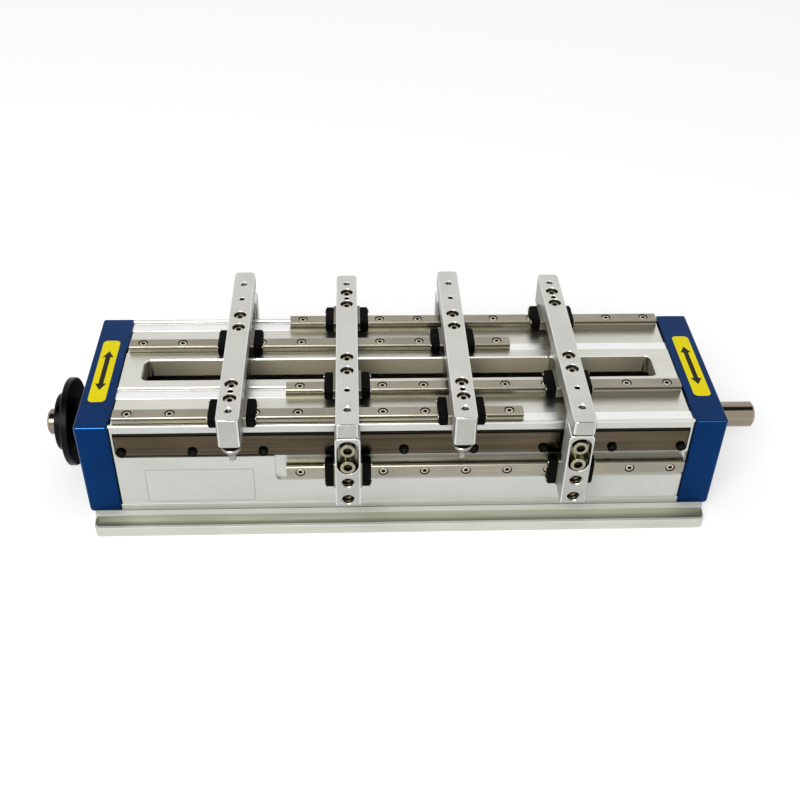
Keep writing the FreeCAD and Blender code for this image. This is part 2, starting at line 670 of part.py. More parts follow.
def arm():
    w = CAR_WIDTH / 2
    outline = [(ARM_LEG_END, ARM_TOP), (ARM_FREE_END, ARM_TOP)]
    outline += [(ARM_FREE_END, END_BLOCK_Z), (END_BLOCK_Y, END_BLOCK_Z), (END_BLOCK_Y, ARM_PAD)]
    outline += [(RAIL_OUTER_Y - w, ARM_PAD), (RAIL_OUTER_Y - w, ARM_UNDER)]
    outline += [(-RAIL_INNER_Y + w, ARM_UNDER), (-RAIL_INNER_Y + w, ARM_PAD)]
    outline += [(-RAIL_INNER_Y - w, ARM_PAD), (-RAIL_INNER_Y - w, ARM_UNDER)]
    outline += [(FLANGE_IN, ARM_UNDER), (FLANGE_IN, FLANGE_Z0), (LEG_BACK, FLANGE_Z0)]
    outline += [(LEG_BACK, ARM_UNDER), (ARM_LEG_END, ARM_UNDER)]
    shape = prism_x(outline, -ARM_WIDTH / 2, ARM_WIDTH / 2)
    tips = (ARM_LEG_END, ARM_FREE_END)
    corners = edges_along(shape, V(0, 0, 1), lambda p: min(abs(p.y - y) for y in tips) < TINY)
    shape = shape.makeFillet(ARM_CORNER_R, corners)
    rims = [e for e in shape.Edges if abs(e.BoundBox.ZMin - ARM_TOP) < TINY]
    rims += edges_along(shape, V(0, 1, 0), lambda p: abs(p.z - END_BLOCK_Z) < TINY)
    shape = shape.makeChamfer(ARM_EDGE, rims)
    cuts = []
    for y in arm_bolt_y():
        cuts.append(mouth(ARM_CBORE_R, V(0, y, ARM_TOP), V(0, 0, -1)))
        cuts.append(rod(ARM_CBORE_R, V(0, y, ARM_TOP - ARM_CBORE_DEPTH), V(0, y, ARM_TOP)))
        cuts.append(rod(M2_SHANK_R, V(0, y, ARM_PAD), V(0, y, ARM_TOP)))
    for y in (-RAIL_OUTER_Y, RAIL_OUTER_Y):
        cuts.append(rod(DOWEL_R, V(0, y, ARM_TOP - DOWEL_DEPTH), V(0, y, ARM_TOP)))
    floor = ARM_TOP - TOOL_HOLE_DEPTH
    for y in (-TOOL_HOLE_Y, TOOL_HOLE_Y):
        cuts.append(rod(TOOL_HOLE_R, V(0, y, floor), V(0, y, ARM_TOP)))
    thread = V(0, TOOL_HOLE_Y, END_BLOCK_Z)
    cuts.append(rod(FIT_THREAD_R, thread, thread + V(0, 0, FIT_THREAD_H)))
    cuts.append(rod(FIT_BORE_R, thread, V(0, TOOL_HOLE_Y, floor)))
    return shape.cut(cuts + leg_screws().Solids)


# Small screws: arm to its two top carriages, leg to the side carriage
def leg_bolt_z():
    return [SIDE_RAIL_Z - CAR_BOLT / 2, SIDE_RAIL_Z + CAR_BOLT / 2]


def small_screws():
    screws = []
    for y in arm_bolt_y():
        seat = ARM_TOP - ARM_CBORE_DEPTH
        head = rod(M2_HEAD_R, V(0, y, seat), V(0, y, seat + M2_HEAD_H))
        shank = rod(M2_SHANK_R, V(0, y, ARM_PAD - CAR_TAP_DEPTH), V(0, y, seat))
        screws.append(fuse([head, shank]))
    for z in leg_bolt_z():
        seat = LEG_FRONT + LEG_CBORE_DEPTH
        head = rod(M2_HEAD_R, V(0, seat - M2_HEAD_H, z), V(0, seat, z))
        shank = rod(M2_SHANK_R, V(0, seat, z), V(0, LEG_BACK + CAR_TAP_DEPTH, z))
        screws.append(fuse([head, shank]))
    return Part.makeCompound(screws)


# Leg bracket with an oblong screw pocket and two counterbored holes
def leg_screw_z():
    return [LEG_SCREW_Z - LEG_SCREW_PITCH / 2, LEG_SCREW_Z + LEG_SCREW_PITCH / 2]


def leg_screws():
    screws = []
    seat = LEG_FRONT + LEG_POCKET_DEPTH
    for z in leg_screw_z():
        head = rod(M3_HEAD_R, V(0, seat - M3_HEAD_H, z), V(0, seat, z))
        shank = rod(M3_SHANK_R, V(0, seat, z), V(0, FLANGE_IN - HEAD_GAP, z))
        screws.append(fuse([head, shank]))
    return Part.makeCompound(screws)


def leg():
    w = LEG_WIDTH / 2
    shape = box(-w, w, LEG_FRONT, LEG_BACK, LEG_Z0, LEG_Z1)
    shape = shape.makeFillet(LEG_TOP_R, edges_along(shape, V(0, 1, 0), lambda c: c.z > LEG_SCREW_Z))
    rim = [e for e in shape.Edges if e.BoundBox.YMax < LEG_FRONT + TINY]
    shape = shape.makeChamfer(LEG_CHAMFER, rim)
    floor = LEG_FRONT + LEG_POCKET_DEPTH
    half = LEG_SCREW_PITCH / 2
    pocket = [box(-LEG_POCKET_R, LEG_POCKET_R, LEG_FRONT, floor, LEG_POCKET_Z - half, LEG_POCKET_Z + half)]
    for z in (LEG_POCKET_Z - half, LEG_POCKET_Z + half):
        pocket.append(rod(LEG_POCKET_R, V(0, LEG_FRONT, z), V(0, floor, z)))
    shape = shape.cut(fuse(pocket))
    reach = half + LEG_POCKET_R
    rim = [e for e in shape.Edges if e.BoundBox.YMax < LEG_FRONT + TINY]
    rim = [e for e in rim if abs(e.CenterOfMass.x) < LEG_POCKET_R + TINY]
    shape = shape.makeChamfer(MOUTH_CHAMFER, [e for e in rim if abs(e.CenterOfMass.z - LEG_POCKET_Z) < reach])
    cuts = []
    for z in leg_screw_z():
        cuts.append(rod(M3_SHANK_R, V(0, LEG_FRONT, z), V(0, LEG_BACK, z)))
    for z in leg_bolt_z():
        cuts.append(mouth(LEG_CBORE_R, V(0, LEG_FRONT, z), V(0, 1, 0)))
        cuts.append(rod(LEG_CBORE_R, V(0, LEG_FRONT, z), V(0, LEG_FRONT + LEG_CBORE_DEPTH, z)))
        cuts.append(rod(M2_SHANK_R, V(0, LEG_FRONT, z), V(0, LEG_BACK, z)))
    return shape.cut(cuts)


# Follower block through the slot, and the roller that runs in the cam groove
def follower_z():
    return AXIS_Z + DRUM_R + FOLLOWER_RISE


def follower():
    x = FOLLOWER_X / 2
    y = FOLLOWER_Y / 2
    shape = box(-x, x, -y, y, follower_z(), ARM_UNDER)
    shape = shape.makeChamfer(FOLLOWER_CHAMFER, edges_along(shape, V(0, 0, 1), lambda c: True))
    return shape.cut(rod(PIN_R, V(0, 0, follower_z()), V(0, 0, follower_z() + PIN_LENGTH)))


def roller():
    tip = AXIS_Z + DRUM_R - GROOVE_DEPTH + ROLLER_TIP_GAP
    wheel = rod(ROLLER_R, V(0, 0, tip), V(0, 0, follower_z()))
    pin = rod(PIN_R, V(0, 0, tip), V(0, 0, follower_z() + PIN_LENGTH))
    return fuse([wheel, pin])


# Hose fitting screwed into the free end from below
def fitting():
    z = END_BLOCK_Z
    low = z - FIT_BODY_H - FIT_CONE_H
    high = z + FIT_THREAD_H
    points = [(FIT_BORE_R, high), (FIT_THREAD_R, high), (FIT_THREAD_R, z)]
    points += [(FIT_BODY_R, z), (FIT_BODY_R, z - FIT_BODY_H), (FIT_NECK_R, low), (FIT_NUB_R, low)]
    points += [(FIT_NUB_R, low - FIT_NUB_H), (FIT_BORE_R, low - FIT_NUB_H)]
    wire = Part.makePolygon([V(r, 0, h) for r, h in points + points[:1]])
    shape = Part.Face(wire).revolve(V(0, 0, 0), V(0, 0, 1), 360)
    return moved(shape, 0, TOOL_HOLE_Y, 0)


# Frame
os.makedirs("parts", exist_ok=True)
save("base", base())
save("body", body())
save("plate_left", plate())
save("plate_right", turned(plate()))
save("plate_screws", plate_screws())
save("bearing_left", bearing())
save("bearing_right", turned(bearing()))
for index, placed in enumerate(on_rails(rail()), 1):
    save("rail_%d" % index, placed)
save("rail_screws", rail_screws())
save("cover_front", cover())
save("cover_rear", turned(cover()))
save("cover_screws", cover_screws())

# Drum
save("shaft", shaft())
save("retaining_ring", retaining_ring())
save("cam_drum", cam_drum())
save("disc", disc())
save("grub_screws", grub_rods(SHAFT_R, HUB_R - GRUB_INSET))

# Sliders, with the leg of every odd one at the rear
slider_parts = {
    "arm": arm(),
    "leg": leg(),
    "blocks": on_carriages(carriage_block()),
    "caps": on_carriages(carriage_caps()),
    "small_screws": small_screws(),
    "leg_screws": leg_screws(),
    "follower": follower(),
    "roller": roller(),
    "fitting": fitting(),
}
for number in slider_numbers():
    for name, shape in slider_parts.items():
        placed = turned(shape) if number % 2 else shape
        save("%s_%d" % (name, number), moved(placed, pitch_factor(number) * PITCH_REST, 0, 0))
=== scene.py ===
import logging
import math
from dataclasses import dataclass
from enum import Enum
from typing import Any, Optional, Sequence, Union

import bmesh
import bpy
import numpy as np
from mathutils import Matrix, Vector


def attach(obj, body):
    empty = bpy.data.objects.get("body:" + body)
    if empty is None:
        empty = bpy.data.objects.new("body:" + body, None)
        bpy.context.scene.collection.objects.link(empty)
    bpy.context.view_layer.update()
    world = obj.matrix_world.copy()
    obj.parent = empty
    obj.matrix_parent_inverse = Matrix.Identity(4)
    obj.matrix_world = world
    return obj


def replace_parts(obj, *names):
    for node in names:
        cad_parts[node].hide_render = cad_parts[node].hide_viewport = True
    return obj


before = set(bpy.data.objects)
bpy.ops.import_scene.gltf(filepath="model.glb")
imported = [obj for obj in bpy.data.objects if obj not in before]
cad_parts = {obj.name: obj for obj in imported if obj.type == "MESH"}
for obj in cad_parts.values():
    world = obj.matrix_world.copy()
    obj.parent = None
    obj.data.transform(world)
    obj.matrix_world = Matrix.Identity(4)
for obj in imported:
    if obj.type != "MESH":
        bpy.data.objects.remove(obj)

LOG = logging.getLogger("variable_pitch_module")
# Metres in a millimetre.
MM = 0.001
# Edges bent by more than the first stay sharp, and faces bent by less than the second are joined.
SHARP_EDGE = math.radians(35.0)
FLAT_ANGLE = math.radians(0.5)
# Corners of a CAD copy that are nearer than this are one corner.
MERGE_MM = 0.002
# Faces across a rounding put on a sharp edge.
BEVEL_STEPS = 2
# A face is straight where at least this much of its way lies along one axis.
STRAIGHT = 0.92
# How far a search for faces reaches past a drawn size, and how far below a hole's mouth it starts.
REACH_MM = 0.1
MOUTH_MM = 0.05
# Height of the drive shaft's axis.
DRIVE_AXIS_Z = 23.2
# First seeds of the chance angles of screw sockets: in rows of screws, and on the carriages' caps.
TURN_SEED = 7
CAP_SEED = 37
# Points round a turned piece and round a thread, and rings in one pitch of a thread.
ROUND_POINTS = 48
THREAD_POINTS = 24
THREAD_RINGS = 6
# How far a thread's sleeve stands into its hole and into the wall behind.
THREAD_IN = 0.01
THREAD_OUT = 0.02
# Depth of a rim's ring behind its cone.
RIM_BACK = 0.1
# Cutting blocks: points on a quarter turn of a corner, and the gap to the faces that stay whole.
BLOCK_POINTS = 9
BLOCK_CLEAR = 0.04
# Thickness of a label or a bright strip.
FILM_MM = 0.08
# Half a turn about z.
HALF_TURN = np.diag([-1.0, -1.0, 1.0])
# White light.
WHITE = (1.0, 1.0, 1.0, 1.0)
# Noise of the finishes: detail and roughness of marks, detail of clouds, the share of each, and their range.
MARK_DETAIL = 3.0
MARK_ROUGHNESS = 0.6
CLOUD_DETAIL = 2.0
NOISE_SHARE = 0.5
NOISE_LOW = 0.36
NOISE_HIGH = 0.64


class Facing(Enum):
    """Way that a screw head, hole or label looks: its local x, y and z axes in the module's axes."""

    UP = ((1, 0, 0), (0, 1, 0), (0, 0, 1))
    DOWN = ((1, 0, 0), (0, -1, 0), (0, 0, -1))
    FRONT = ((1, 0, 0), (0, 0, 1), (0, -1, 0))
    REAR = ((-1, 0, 0), (0, 0, 1), (0, 1, 0))
    LEFT = ((0, -1, 0), (0, 0, 1), (-1, 0, 0))
    RIGHT = ((0, 1, 0), (0, 0, 1), (1, 0, 0))

    @property
    def turn(self) -> np.ndarray:
        """The 3 by 3 turn from local to module axes."""
        return np.array(self.value, float).T

    @property
    def way(self) -> np.ndarray:
        """The way out, as a unit vector in module axes."""
        return np.array(self.value[2], float)


class Lay(Enum):
    """Way that the marks of a finish run over the surface."""

    GRAIN = "no direction"
    ALONG = "long marks along the module"
    LATHE = "rings about the drive shaft"


# ---- finishes


def linear(code: str) -> tuple[float, float, float, float]:
    """Turns an sRGB hex colour into linear RGBA.

    Args:
        code: colour such as "#1a2b3c".

    Returns:
        Red, green and blue in linear light, and an alpha of 1.
    """
    srgb = np.array([int(code[i : i + 2], 16) for i in (1, 3, 5)]) / 255.0
    light = np.where(srgb <= 0.04045, srgb / 12.92, ((srgb + 0.055) / 1.055) ** 2.4)
    return (*light.tolist(), 1.0)


def add_node(
    tree: bpy.types.NodeTree, kind: str, inputs: Optional[dict[Union[str, int], Any]] = None, **settings: Any
) -> bpy.types.Node:
    """Adds one shader node with its settings, values and links.

    Args:
        tree: node tree that takes the node.
        kind: Blender's type name of the node.
        inputs: value or source socket for each input, by name or number.
        settings: properties of the node itself.

    Returns:
        The new node.
    """
    node = tree.nodes.new(kind)
    for name, value in settings.items():
        setattr(node, name, value)
    for name, value in (inputs or {}).items():
        if isinstance(value, bpy.types.NodeSocket):
            tree.links.new(value, node.inputs[name])
        else:
            node.inputs[name].default_value = value
    return node


@dataclass(frozen=True)
class Finish:
    """One real surface: two tones, a gloss range, the marks of its making and broad cloudy patches."""

    name: str
    dark: str
    light: str
    metallic: float
    smooth: float
    rough: float
    lay: Lay = Lay.GRAIN
    mark_mm: float = 0.4
    run_mm: float = 0.4
    relief_mm: float = 0.004
    cloud_mm: float = 14.0
    ior: float = 1.5
    gleam: float = 0.5

    def scale(self) -> tuple[float, float, float]:
        """Marks per metre along X, Y and Z, fewer along X where the marks run along the module."""
        fine, long = 1.0 / (self.mark_mm * MM), 1.0 / (self.run_mm * MM)
        return (long if self.lay is Lay.ALONG else fine, fine, fine)

    def mark_place(self, tree: bpy.types.NodeTree, place: bpy.types.NodeSocket) -> bpy.types.NodeSocket:
        """Gives the place that the marks are read at.

        Args:
            tree: the material's node tree.
            place: object coordinates.

        Returns:
            Object coordinates, or length along and distance from the drive shaft for turned surfaces.
        """
        if self.lay is not Lay.LATHE:
            return place
        to_axis = {0: place, 1: (0.0, 0.0, -DRIVE_AXIS_Z * MM)}
        centred = add_node(tree, "ShaderNodeVectorMath", to_axis, operation="ADD")
        no_length = {0: centred.outputs[0], 1: (0.0, 1.0, 1.0)}
        flat = add_node(tree, "ShaderNodeVectorMath", no_length, operation="MULTIPLY")
        reach = add_node(tree, "ShaderNodeVectorMath", {0: flat.outputs[0]}, operation="LENGTH")
        split = add_node(tree, "ShaderNodeSeparateXYZ", {0: place})
        joined = add_node(tree, "ShaderNodeCombineXYZ", {0: split.outputs[0], 1: reach.outputs["Value"]})
        return joined.outputs[0]

    def tone(
        self, tree: bpy.types.NodeTree, place: bpy.types.NodeSocket, blend: bpy.types.NodeSocket
    ) -> bpy.types.NodeSocket:
        """Gives the colour: the dark tone where marks and clouds are low, the light one where they are high.

        Args:
            tree: the material's node tree.
            place: object coordinates; not used here.
            blend: the height of marks and clouds, from 0 to 1.

        Returns:
            The colour.
        """
        tones = {0: blend, 6: linear(self.dark), 7: linear(self.light)}
        return add_node(tree, "ShaderNodeMix", tones, data_type="RGBA").outputs[2]

    def build(self) -> bpy.types.Material:
        """Makes the material once: noise marks and clouds drive colour, roughness and a shallow bump.

        Returns:
            The material with this finish's name.
        """
        found = bpy.data.materials.get(self.name)
        if found:
            return found
        material = bpy.data.materials.new(self.name)
        material.use_nodes = True
        tree = material.node_tree
        tree.nodes.clear()
        place = add_node(tree, "ShaderNodeTexCoord").outputs["Object"]
        mapping = {"Vector": self.mark_place(tree, place), "Scale": self.scale()}
        mark_at = add_node(tree, "ShaderNodeMapping", mapping).outputs[0]
        fine = {"Vector": mark_at, "Scale": 1.0, "Detail": MARK_DETAIL, "Roughness": MARK_ROUGHNESS}
        marks = add_node(tree, "ShaderNodeTexNoise", fine).outputs[0]
        broad = {"Vector": place, "Scale": 1.0 / (self.cloud_mm * MM), "Detail": CLOUD_DETAIL}
        clouds = add_node(tree, "ShaderNodeTexNoise", broad).outputs[0]
        share = add_node(tree, "ShaderNodeMath", {0: marks, 1: NOISE_SHARE}, operation="MULTIPLY").outputs[0]
        shares = {0: clouds, 1: NOISE_SHARE, 2: share}
        both = add_node(tree, "ShaderNodeMath", shares, operation="MULTIPLY_ADD").outputs[0]
        spread = {0: both, 1: NOISE_LOW, 2: NOISE_HIGH}
        blend = add_node(tree, "ShaderNodeMapRange", spread)
        gloss = add_node(tree, "ShaderNodeMapRange", {**spread, 3: self.rough, 4: self.smooth})
        relief = {"Height": marks, "Distance": self.relief_mm * MM, "Strength": 1.0}
        bump = add_node(tree, "ShaderNodeBump", relief)
        surface = {
            "Base Color": self.tone(tree, place, blend.outputs[0]),
            "Roughness": gloss.outputs[0],
            "Normal": bump.outputs[0],
            "Metallic": self.metallic,
        }
        if self.metallic < 1.0:
            surface["IOR"] = self.ior
            surface["Specular IOR Level"] = self.gleam
        shader = add_node(tree, "ShaderNodeBsdfPrincipled", surface)
        add_node(tree, "ShaderNodeOutputMaterial", {"Surface": shader.outputs[0]})
        return material


@dataclass(frozen=True)
class ShadedGrooveFinish(Finish):
    """A finish that darkens towards the foot of a groove and towards its two ends: painted shade."""

    shade_tone: str = "#000000"
    foot_mm: tuple[float, float] = (0.0, 1.0)
    foot_share: float = 0.75
    end_mm: tuple[float, float] = (0.0, 1.0)
    end_share: float = 0.55

    def tone(
        self, tree: bpy.types.NodeTree, place: bpy.types.NodeSocket, blend: bpy.types.NodeSocket
    ) -> bpy.types.NodeSocket:
        """Gives the plain finish's colour, mixed with painted shade by the height and by the length from the
        middle.

        Args:
            tree: the material's node tree.
            place: object coordinates.
            blend: the height of marks and clouds, from 0 to 1.

        Returns:
            The colour.
        """
        split = add_node(tree, "ShaderNodeSeparateXYZ", {0: place}).outputs
        long = add_node(tree, "ShaderNodeMath", {0: split[0]}, operation="ABSOLUTE").outputs[0]
        foot = {0: split[2], 1: self.foot_mm[0] * MM, 2: self.foot_mm[1] * MM, 3: self.foot_share, 4: 0.0}
        low = add_node(tree, "ShaderNodeMapRange", foot).outputs[0]
        ends = {0: long, 1: self.end_mm[0] * MM, 2: self.end_mm[1] * MM, 3: 0.0, 4: self.end_share}
        out = add_node(tree, "ShaderNodeMapRange", ends, interpolation_type="SMOOTHSTEP").outputs[0]
        share = add_node(tree, "ShaderNodeMath", {0: low, 1: out}, operation="ADD", use_clamp=True).outputs[0]
        tones = {0: share, 6: super().tone(tree, place, blend), 7: linear(self.shade_tone)}
        return add_node(tree, "ShaderNodeMix", tones, data_type="RGBA").outputs[2]


# Clear anodised aluminium, face milled along the module: pale satin grey with faint long cutter marks.
MILLED_ALUMINIUM = Finish(
    "anodised_aluminium_milled", "#d6d5cc", "#dfded5", metallic=1.0, smooth=0.30, rough=0.38,
    lay=Lay.ALONG, mark_mm=0.5, run_mm=24.0, relief_mm=0.002, cloud_mm=26.0,
)
# The body's long sides: the same metal cut with the cutter's flank, duller, and a little darker as painted
# shade.
SHADED_FLANK_ALUMINIUM = Finish(
    "anodised_aluminium_flank_painted_shade", "#c2c3be", "#cacbc6", metallic=1.0, smooth=0.34, rough=0.42,
    lay=Lay.ALONG, mark_mm=0.5, run_mm=24.0, relief_mm=0.001, cloud_mm=26.0,
)
# Rail seats: strips ground flat and bright after milling.
GROUND_ALUMINIUM = Finish(
    "aluminium_seat_ground", "#ececea", "#f5f5f3", metallic=1.0, smooth=0.22, rough=0.30,
    lay=Lay.ALONG, mark_mm=0.3, run_mm=12.0, relief_mm=0.001, cloud_mm=20.0,
)
# Side of the milled slot: warm and dull, darker towards the slot's ends as painted shade.
SLOT_ALUMINIUM = ShadedGrooveFinish(
    "anodised_aluminium_slot_wall", "#c9bfa3", "#d9d0b5", metallic=0.35, smooth=0.45, rough=0.60,
    lay=Lay.ALONG, mark_mm=0.6, run_mm=9.0, relief_mm=0.008, cloud_mm=18.0, gleam=0.4,
    shade_tone="#4b4636", end_mm=(66.0, 97.0),
)
# Drilled and bored holes in aluminium: darker as painted shade of light caught inside, with a fine soft
# shine.
SHADED_DRILLED_ALUMINIUM = Finish(
    "anodised_aluminium_drilled_painted_shade", "#423f35", "#5c584c", metallic=1.0, smooth=0.20, rough=0.28,
    lay=Lay.GRAIN, mark_mm=0.25, relief_mm=0.002, cloud_mm=6.0,
)
# Chamfers and countersunk rims: cut last, smooth and bright.
RIM_ALUMINIUM = Finish(
    "anodised_aluminium_chamfered", "#d4d4d0", "#e0e0dc", metallic=1.0, smooth=0.16, rough=0.24,
    lay=Lay.GRAIN, mark_mm=0.2, relief_mm=0.001, cloud_mm=5.0,
)
# Milled pocket in a leg: greyer than the face round it as painted shade, with a soft shine.
SHADED_POCKET_ALUMINIUM = Finish(
    "anodised_aluminium_pocket_painted_shade", "#6f6b60", "#8a867b", metallic=1.0, smooth=0.20, rough=0.28,
    lay=Lay.GRAIN, mark_mm=0.25, relief_mm=0.002, cloud_mm=6.0,
)
# Cut threads in aluminium: fine and dull, and dark as painted shade inside the hole.
SHADED_TAPPED_ALUMINIUM = Finish(
    "anodised_aluminium_tapped_painted_shade", "#4c4b46", "#615f59", metallic=1.0, smooth=0.30, rough=0.42,
    lay=Lay.GRAIN, mark_mm=0.2, relief_mm=0.002, cloud_mm=5.0,
)
# Clear anodised aluminium extrusion: pale, dull and faintly green, with die lines along its length.
EXTRUDED_ALUMINIUM = Finish(
    "anodised_aluminium_extruded", "#c6c6bd", "#d4d4cb", metallic=0.4, smooth=0.48, rough=0.60,
    lay=Lay.ALONG, mark_mm=0.7, run_mm=60.0, relief_mm=0.003, cloud_mm=30.0, gleam=0.4,
)
# Top of the extrusion beside the body: the same metal, left dull, and whiter as painted light.
LIT_LAND_ALUMINIUM = Finish(
    "anodised_aluminium_land_painted_light", "#d2d2ca", "#dcdcd4", metallic=0.1, smooth=0.60, rough=0.70,
    lay=Lay.ALONG, mark_mm=0.7, run_mm=60.0, relief_mm=0.002, cloud_mm=30.0, gleam=0.2,
)
# Groove of the extrusion: olive grey; its darker tone, and its darkening towards its foot and its ends, are
# painted shade.
SHADED_GROOVE_ALUMINIUM = ShadedGrooveFinish(
    "anodised_aluminium_groove_painted_shade", "#9c9f8a", "#b0b29e", metallic=0.35, smooth=0.45, rough=0.60,
    lay=Lay.ALONG, mark_mm=0.7, run_mm=60.0, relief_mm=0.003, cloud_mm=30.0, gleam=0.3,
    shade_tone="#626354", foot_mm=(4.2, 6.7), end_mm=(96.0, 114.0),
)
# Grime in the joint over the base, and painted shade on the ledge under a cover: dull and dark grey.
JOINT_DIRT_AND_SHADE = Finish(
    "joint_dirt_and_painted_shade_grey", "#5f5f57", "#74746b", metallic=0.0, smooth=0.60, rough=0.75,
    lay=Lay.ALONG, mark_mm=0.5, run_mm=12.0, relief_mm=0.002, cloud_mm=20.0, gleam=0.1,
)
# Painted shadow in a narrow gap: almost black, with no shine.
GAP_SHADE = Finish(
    "gap_painted_shadow_black", "#12110b", "#1d1b13", metallic=0.0, smooth=0.60, rough=0.75,
    lay=Lay.ALONG, mark_mm=0.5, run_mm=12.0, relief_mm=0.002, cloud_mm=20.0, gleam=0.1,
)
# Bead blasted and anodised aluminium: even pale grey; the blast grit is drawn at 0.45 mm so that it shows.
BLASTED_ALUMINIUM = Finish(
    "anodised_aluminium_blasted", "#cecfc8", "#d7d8d1", metallic=0.6, smooth=0.38, rough=0.46,
    lay=Lay.GRAIN, mark_mm=0.45, relief_mm=0.006, cloud_mm=9.0,
)
# Upright faces of arms and legs: the same metal, greyer as painted shade.
SHADED_BLASTED_ALUMINIUM = Finish(
    "anodised_aluminium_blasted_painted_shade", "#adada8", "#b7b7b2", metallic=0.6, smooth=0.38, rough=0.46,
    lay=Lay.GRAIN, mark_mm=0.45, relief_mm=0.006, cloud_mm=9.0,
)
# Blue anodised aluminium: deep blue satin metal with a fine even grain.
BLUE_ALUMINIUM = Finish(
    "blue_anodised_aluminium", "#052b59", "#083367", metallic=1.0, smooth=0.30, rough=0.38,
    lay=Lay.GRAIN, mark_mm=0.4, relief_mm=0.004, cloud_mm=18.0,
)
# Broken edges of the blue plates: lighter blue as a painted highlight, and shinier.
BLUE_EDGE_HIGHLIGHT = Finish(
    "blue_anodised_edge_painted_highlight", "#2a5f9e", "#3a74b4", metallic=1.0, smooth=0.20, rough=0.28,
    lay=Lay.GRAIN, mark_mm=0.3, relief_mm=0.002, cloud_mm=10.0,
)
# Ground bearing steel of rails: warm grey with fine grinding lines along the rail.
GROUND_STEEL = Finish(
    "bearing_steel_ground", "#8a8576", "#a6a192", metallic=1.0, smooth=0.18, rough=0.30,
    lay=Lay.ALONG, mark_mm=0.16, run_mm=14.0, relief_mm=0.0015, cloud_mm=25.0,
)
# Raceway sides of rails: the same steel, darker and faintly olive as painted shade.
SHADED_RACEWAY_STEEL = Finish(
    "bearing_steel_raceway_painted_shade", "#6b6857", "#85816f", metallic=1.0, smooth=0.16, rough=0.28,
    lay=Lay.ALONG, mark_mm=0.16, run_mm=14.0, relief_mm=0.0015, cloud_mm=40.0,
)
# Carriage blocks: the same steel, hardened, and darker as painted shade under the arms.
SHADED_BLOCK_STEEL = Finish(
    "carriage_steel_hardened_painted_shade", "#7a776b", "#928f83", metallic=1.0, smooth=0.22, rough=0.32,
    lay=Lay.ALONG, mark_mm=0.2, run_mm=8.0, relief_mm=0.0015, cloud_mm=12.0,
)
# Inside of counterbores and sockets in steel: near black as painted shade.
SHADED_BORE_STEEL = Finish(
    "bore_steel_painted_shade", "#24221d", "#34312a", metallic=1.0, smooth=0.28, rough=0.40,
    lay=Lay.GRAIN, mark_mm=0.2, relief_mm=0.002, cloud_mm=4.0,
)
# Rolled stainless strip: dark, brownish and polished, with rolling lines along its length.
ROLLED_STEEL = Finish(
    "stainless_strip_rolled", "#3f382b", "#5f5546", metallic=1.0, smooth=0.14, rough=0.26,
    lay=Lay.ALONG, mark_mm=1.2, run_mm=90.0, relief_mm=0.001, cloud_mm=48.0,
)
# Ground shaft steel: bright and nearly a mirror, with fine rings from centreless grinding; its darker, warm
# tone is painted reflection of darker, brown surroundings.
SHAFT_STEEL_REFLECTION = Finish(
    "shaft_steel_ground_painted_reflection", "#847a6a", "#9c9282", metallic=1.0, smooth=0.06, rough=0.11,
    lay=Lay.LATHE, mark_mm=0.25, relief_mm=0.0006, cloud_mm=30.0,
)
# Turned and hardened cam steel: mid grey rings with a thin film of oil.
CAM_STEEL = Finish(
    "cam_steel_turned", "#5f5c55", "#7d7a71", metallic=1.0, smooth=0.22, rough=0.34,
    lay=Lay.LATHE, mark_mm=0.35, relief_mm=0.002, cloud_mm=20.0,
)
# Hardened follower steel: mid grey with no direction.
TOOL_STEEL = Finish(
    "tool_steel_hardened", "#6b6862", "#8a867e", metallic=1.0, smooth=0.26, rough=0.36,
    lay=Lay.GRAIN, mark_mm=0.3, relief_mm=0.002, cloud_mm=10.0,
)
# Nickel plated steel screws: greyish yellow metal with a soft shine.
NICKEL_SCREW = Finish(
    "screw_steel_nickel", "#b9b09c", "#d0c8b5", metallic=1.0, smooth=0.18, rough=0.28,
    lay=Lay.GRAIN, mark_mm=0.3, relief_mm=0.002, cloud_mm=6.0,
)
# Larger screws of the legs: plated a yellower metal, and darker as painted shade in the leg's pocket.
SHADED_YELLOW_SCREW = Finish(
    "screw_steel_yellow_painted_shade", "#8f8b74", "#a8a48c", metallic=1.0, smooth=0.14, rough=0.24,
    lay=Lay.GRAIN, mark_mm=0.3, relief_mm=0.002, cloud_mm=6.0,
)
# Black oxide steel screws: near black with a dull shine.
BLACK_SCREW = Finish(
    "screw_steel_black_oxide", "#030303", "#070706", metallic=0.0, smooth=0.40, rough=0.52,
    lay=Lay.GRAIN, mark_mm=0.3, relief_mm=0.004, cloud_mm=5.0, gleam=0.05,
)
# Black anodised aluminium, turned: dark rings with a satin shine.
BLACK_ALUMINIUM = Finish(
    "black_anodised_aluminium_turned", "#050505", "#0a0a0a", metallic=0.0, smooth=0.28, rough=0.38,
    lay=Lay.LATHE, mark_mm=0.4, relief_mm=0.004, cloud_mm=15.0, gleam=0.10,
)
# Flat faces of the black disc: duller than its rim.
DULL_BLACK_ALUMINIUM = Finish(
    "black_anodised_aluminium_faced", "#030303", "#070707", metallic=0.0, smooth=0.60, rough=0.72,
    lay=Lay.LATHE, mark_mm=0.4, relief_mm=0.004, cloud_mm=15.0, gleam=0.02,
)
# Moulded acetal end caps: black with a fine spark-eroded grain.
MOULDED_PLASTIC = Finish(
    "acetal_moulded_black", "#030303", "#070706", metallic=0.0, smooth=0.42, rough=0.56,
    lay=Lay.GRAIN, mark_mm=0.35, relief_mm=0.006, cloud_mm=4.0, gleam=0.04,
)
# Nitrile seal rubber: soft dull black.
SEAL_RUBBER = Finish(
    "nitrile_rubber_moulded", "#050505", "#0a0a09", metallic=0.0, smooth=0.60, rough=0.72,
    lay=Lay.GRAIN, mark_mm=0.3, relief_mm=0.006, cloud_mm=4.0, gleam=0.05,
)
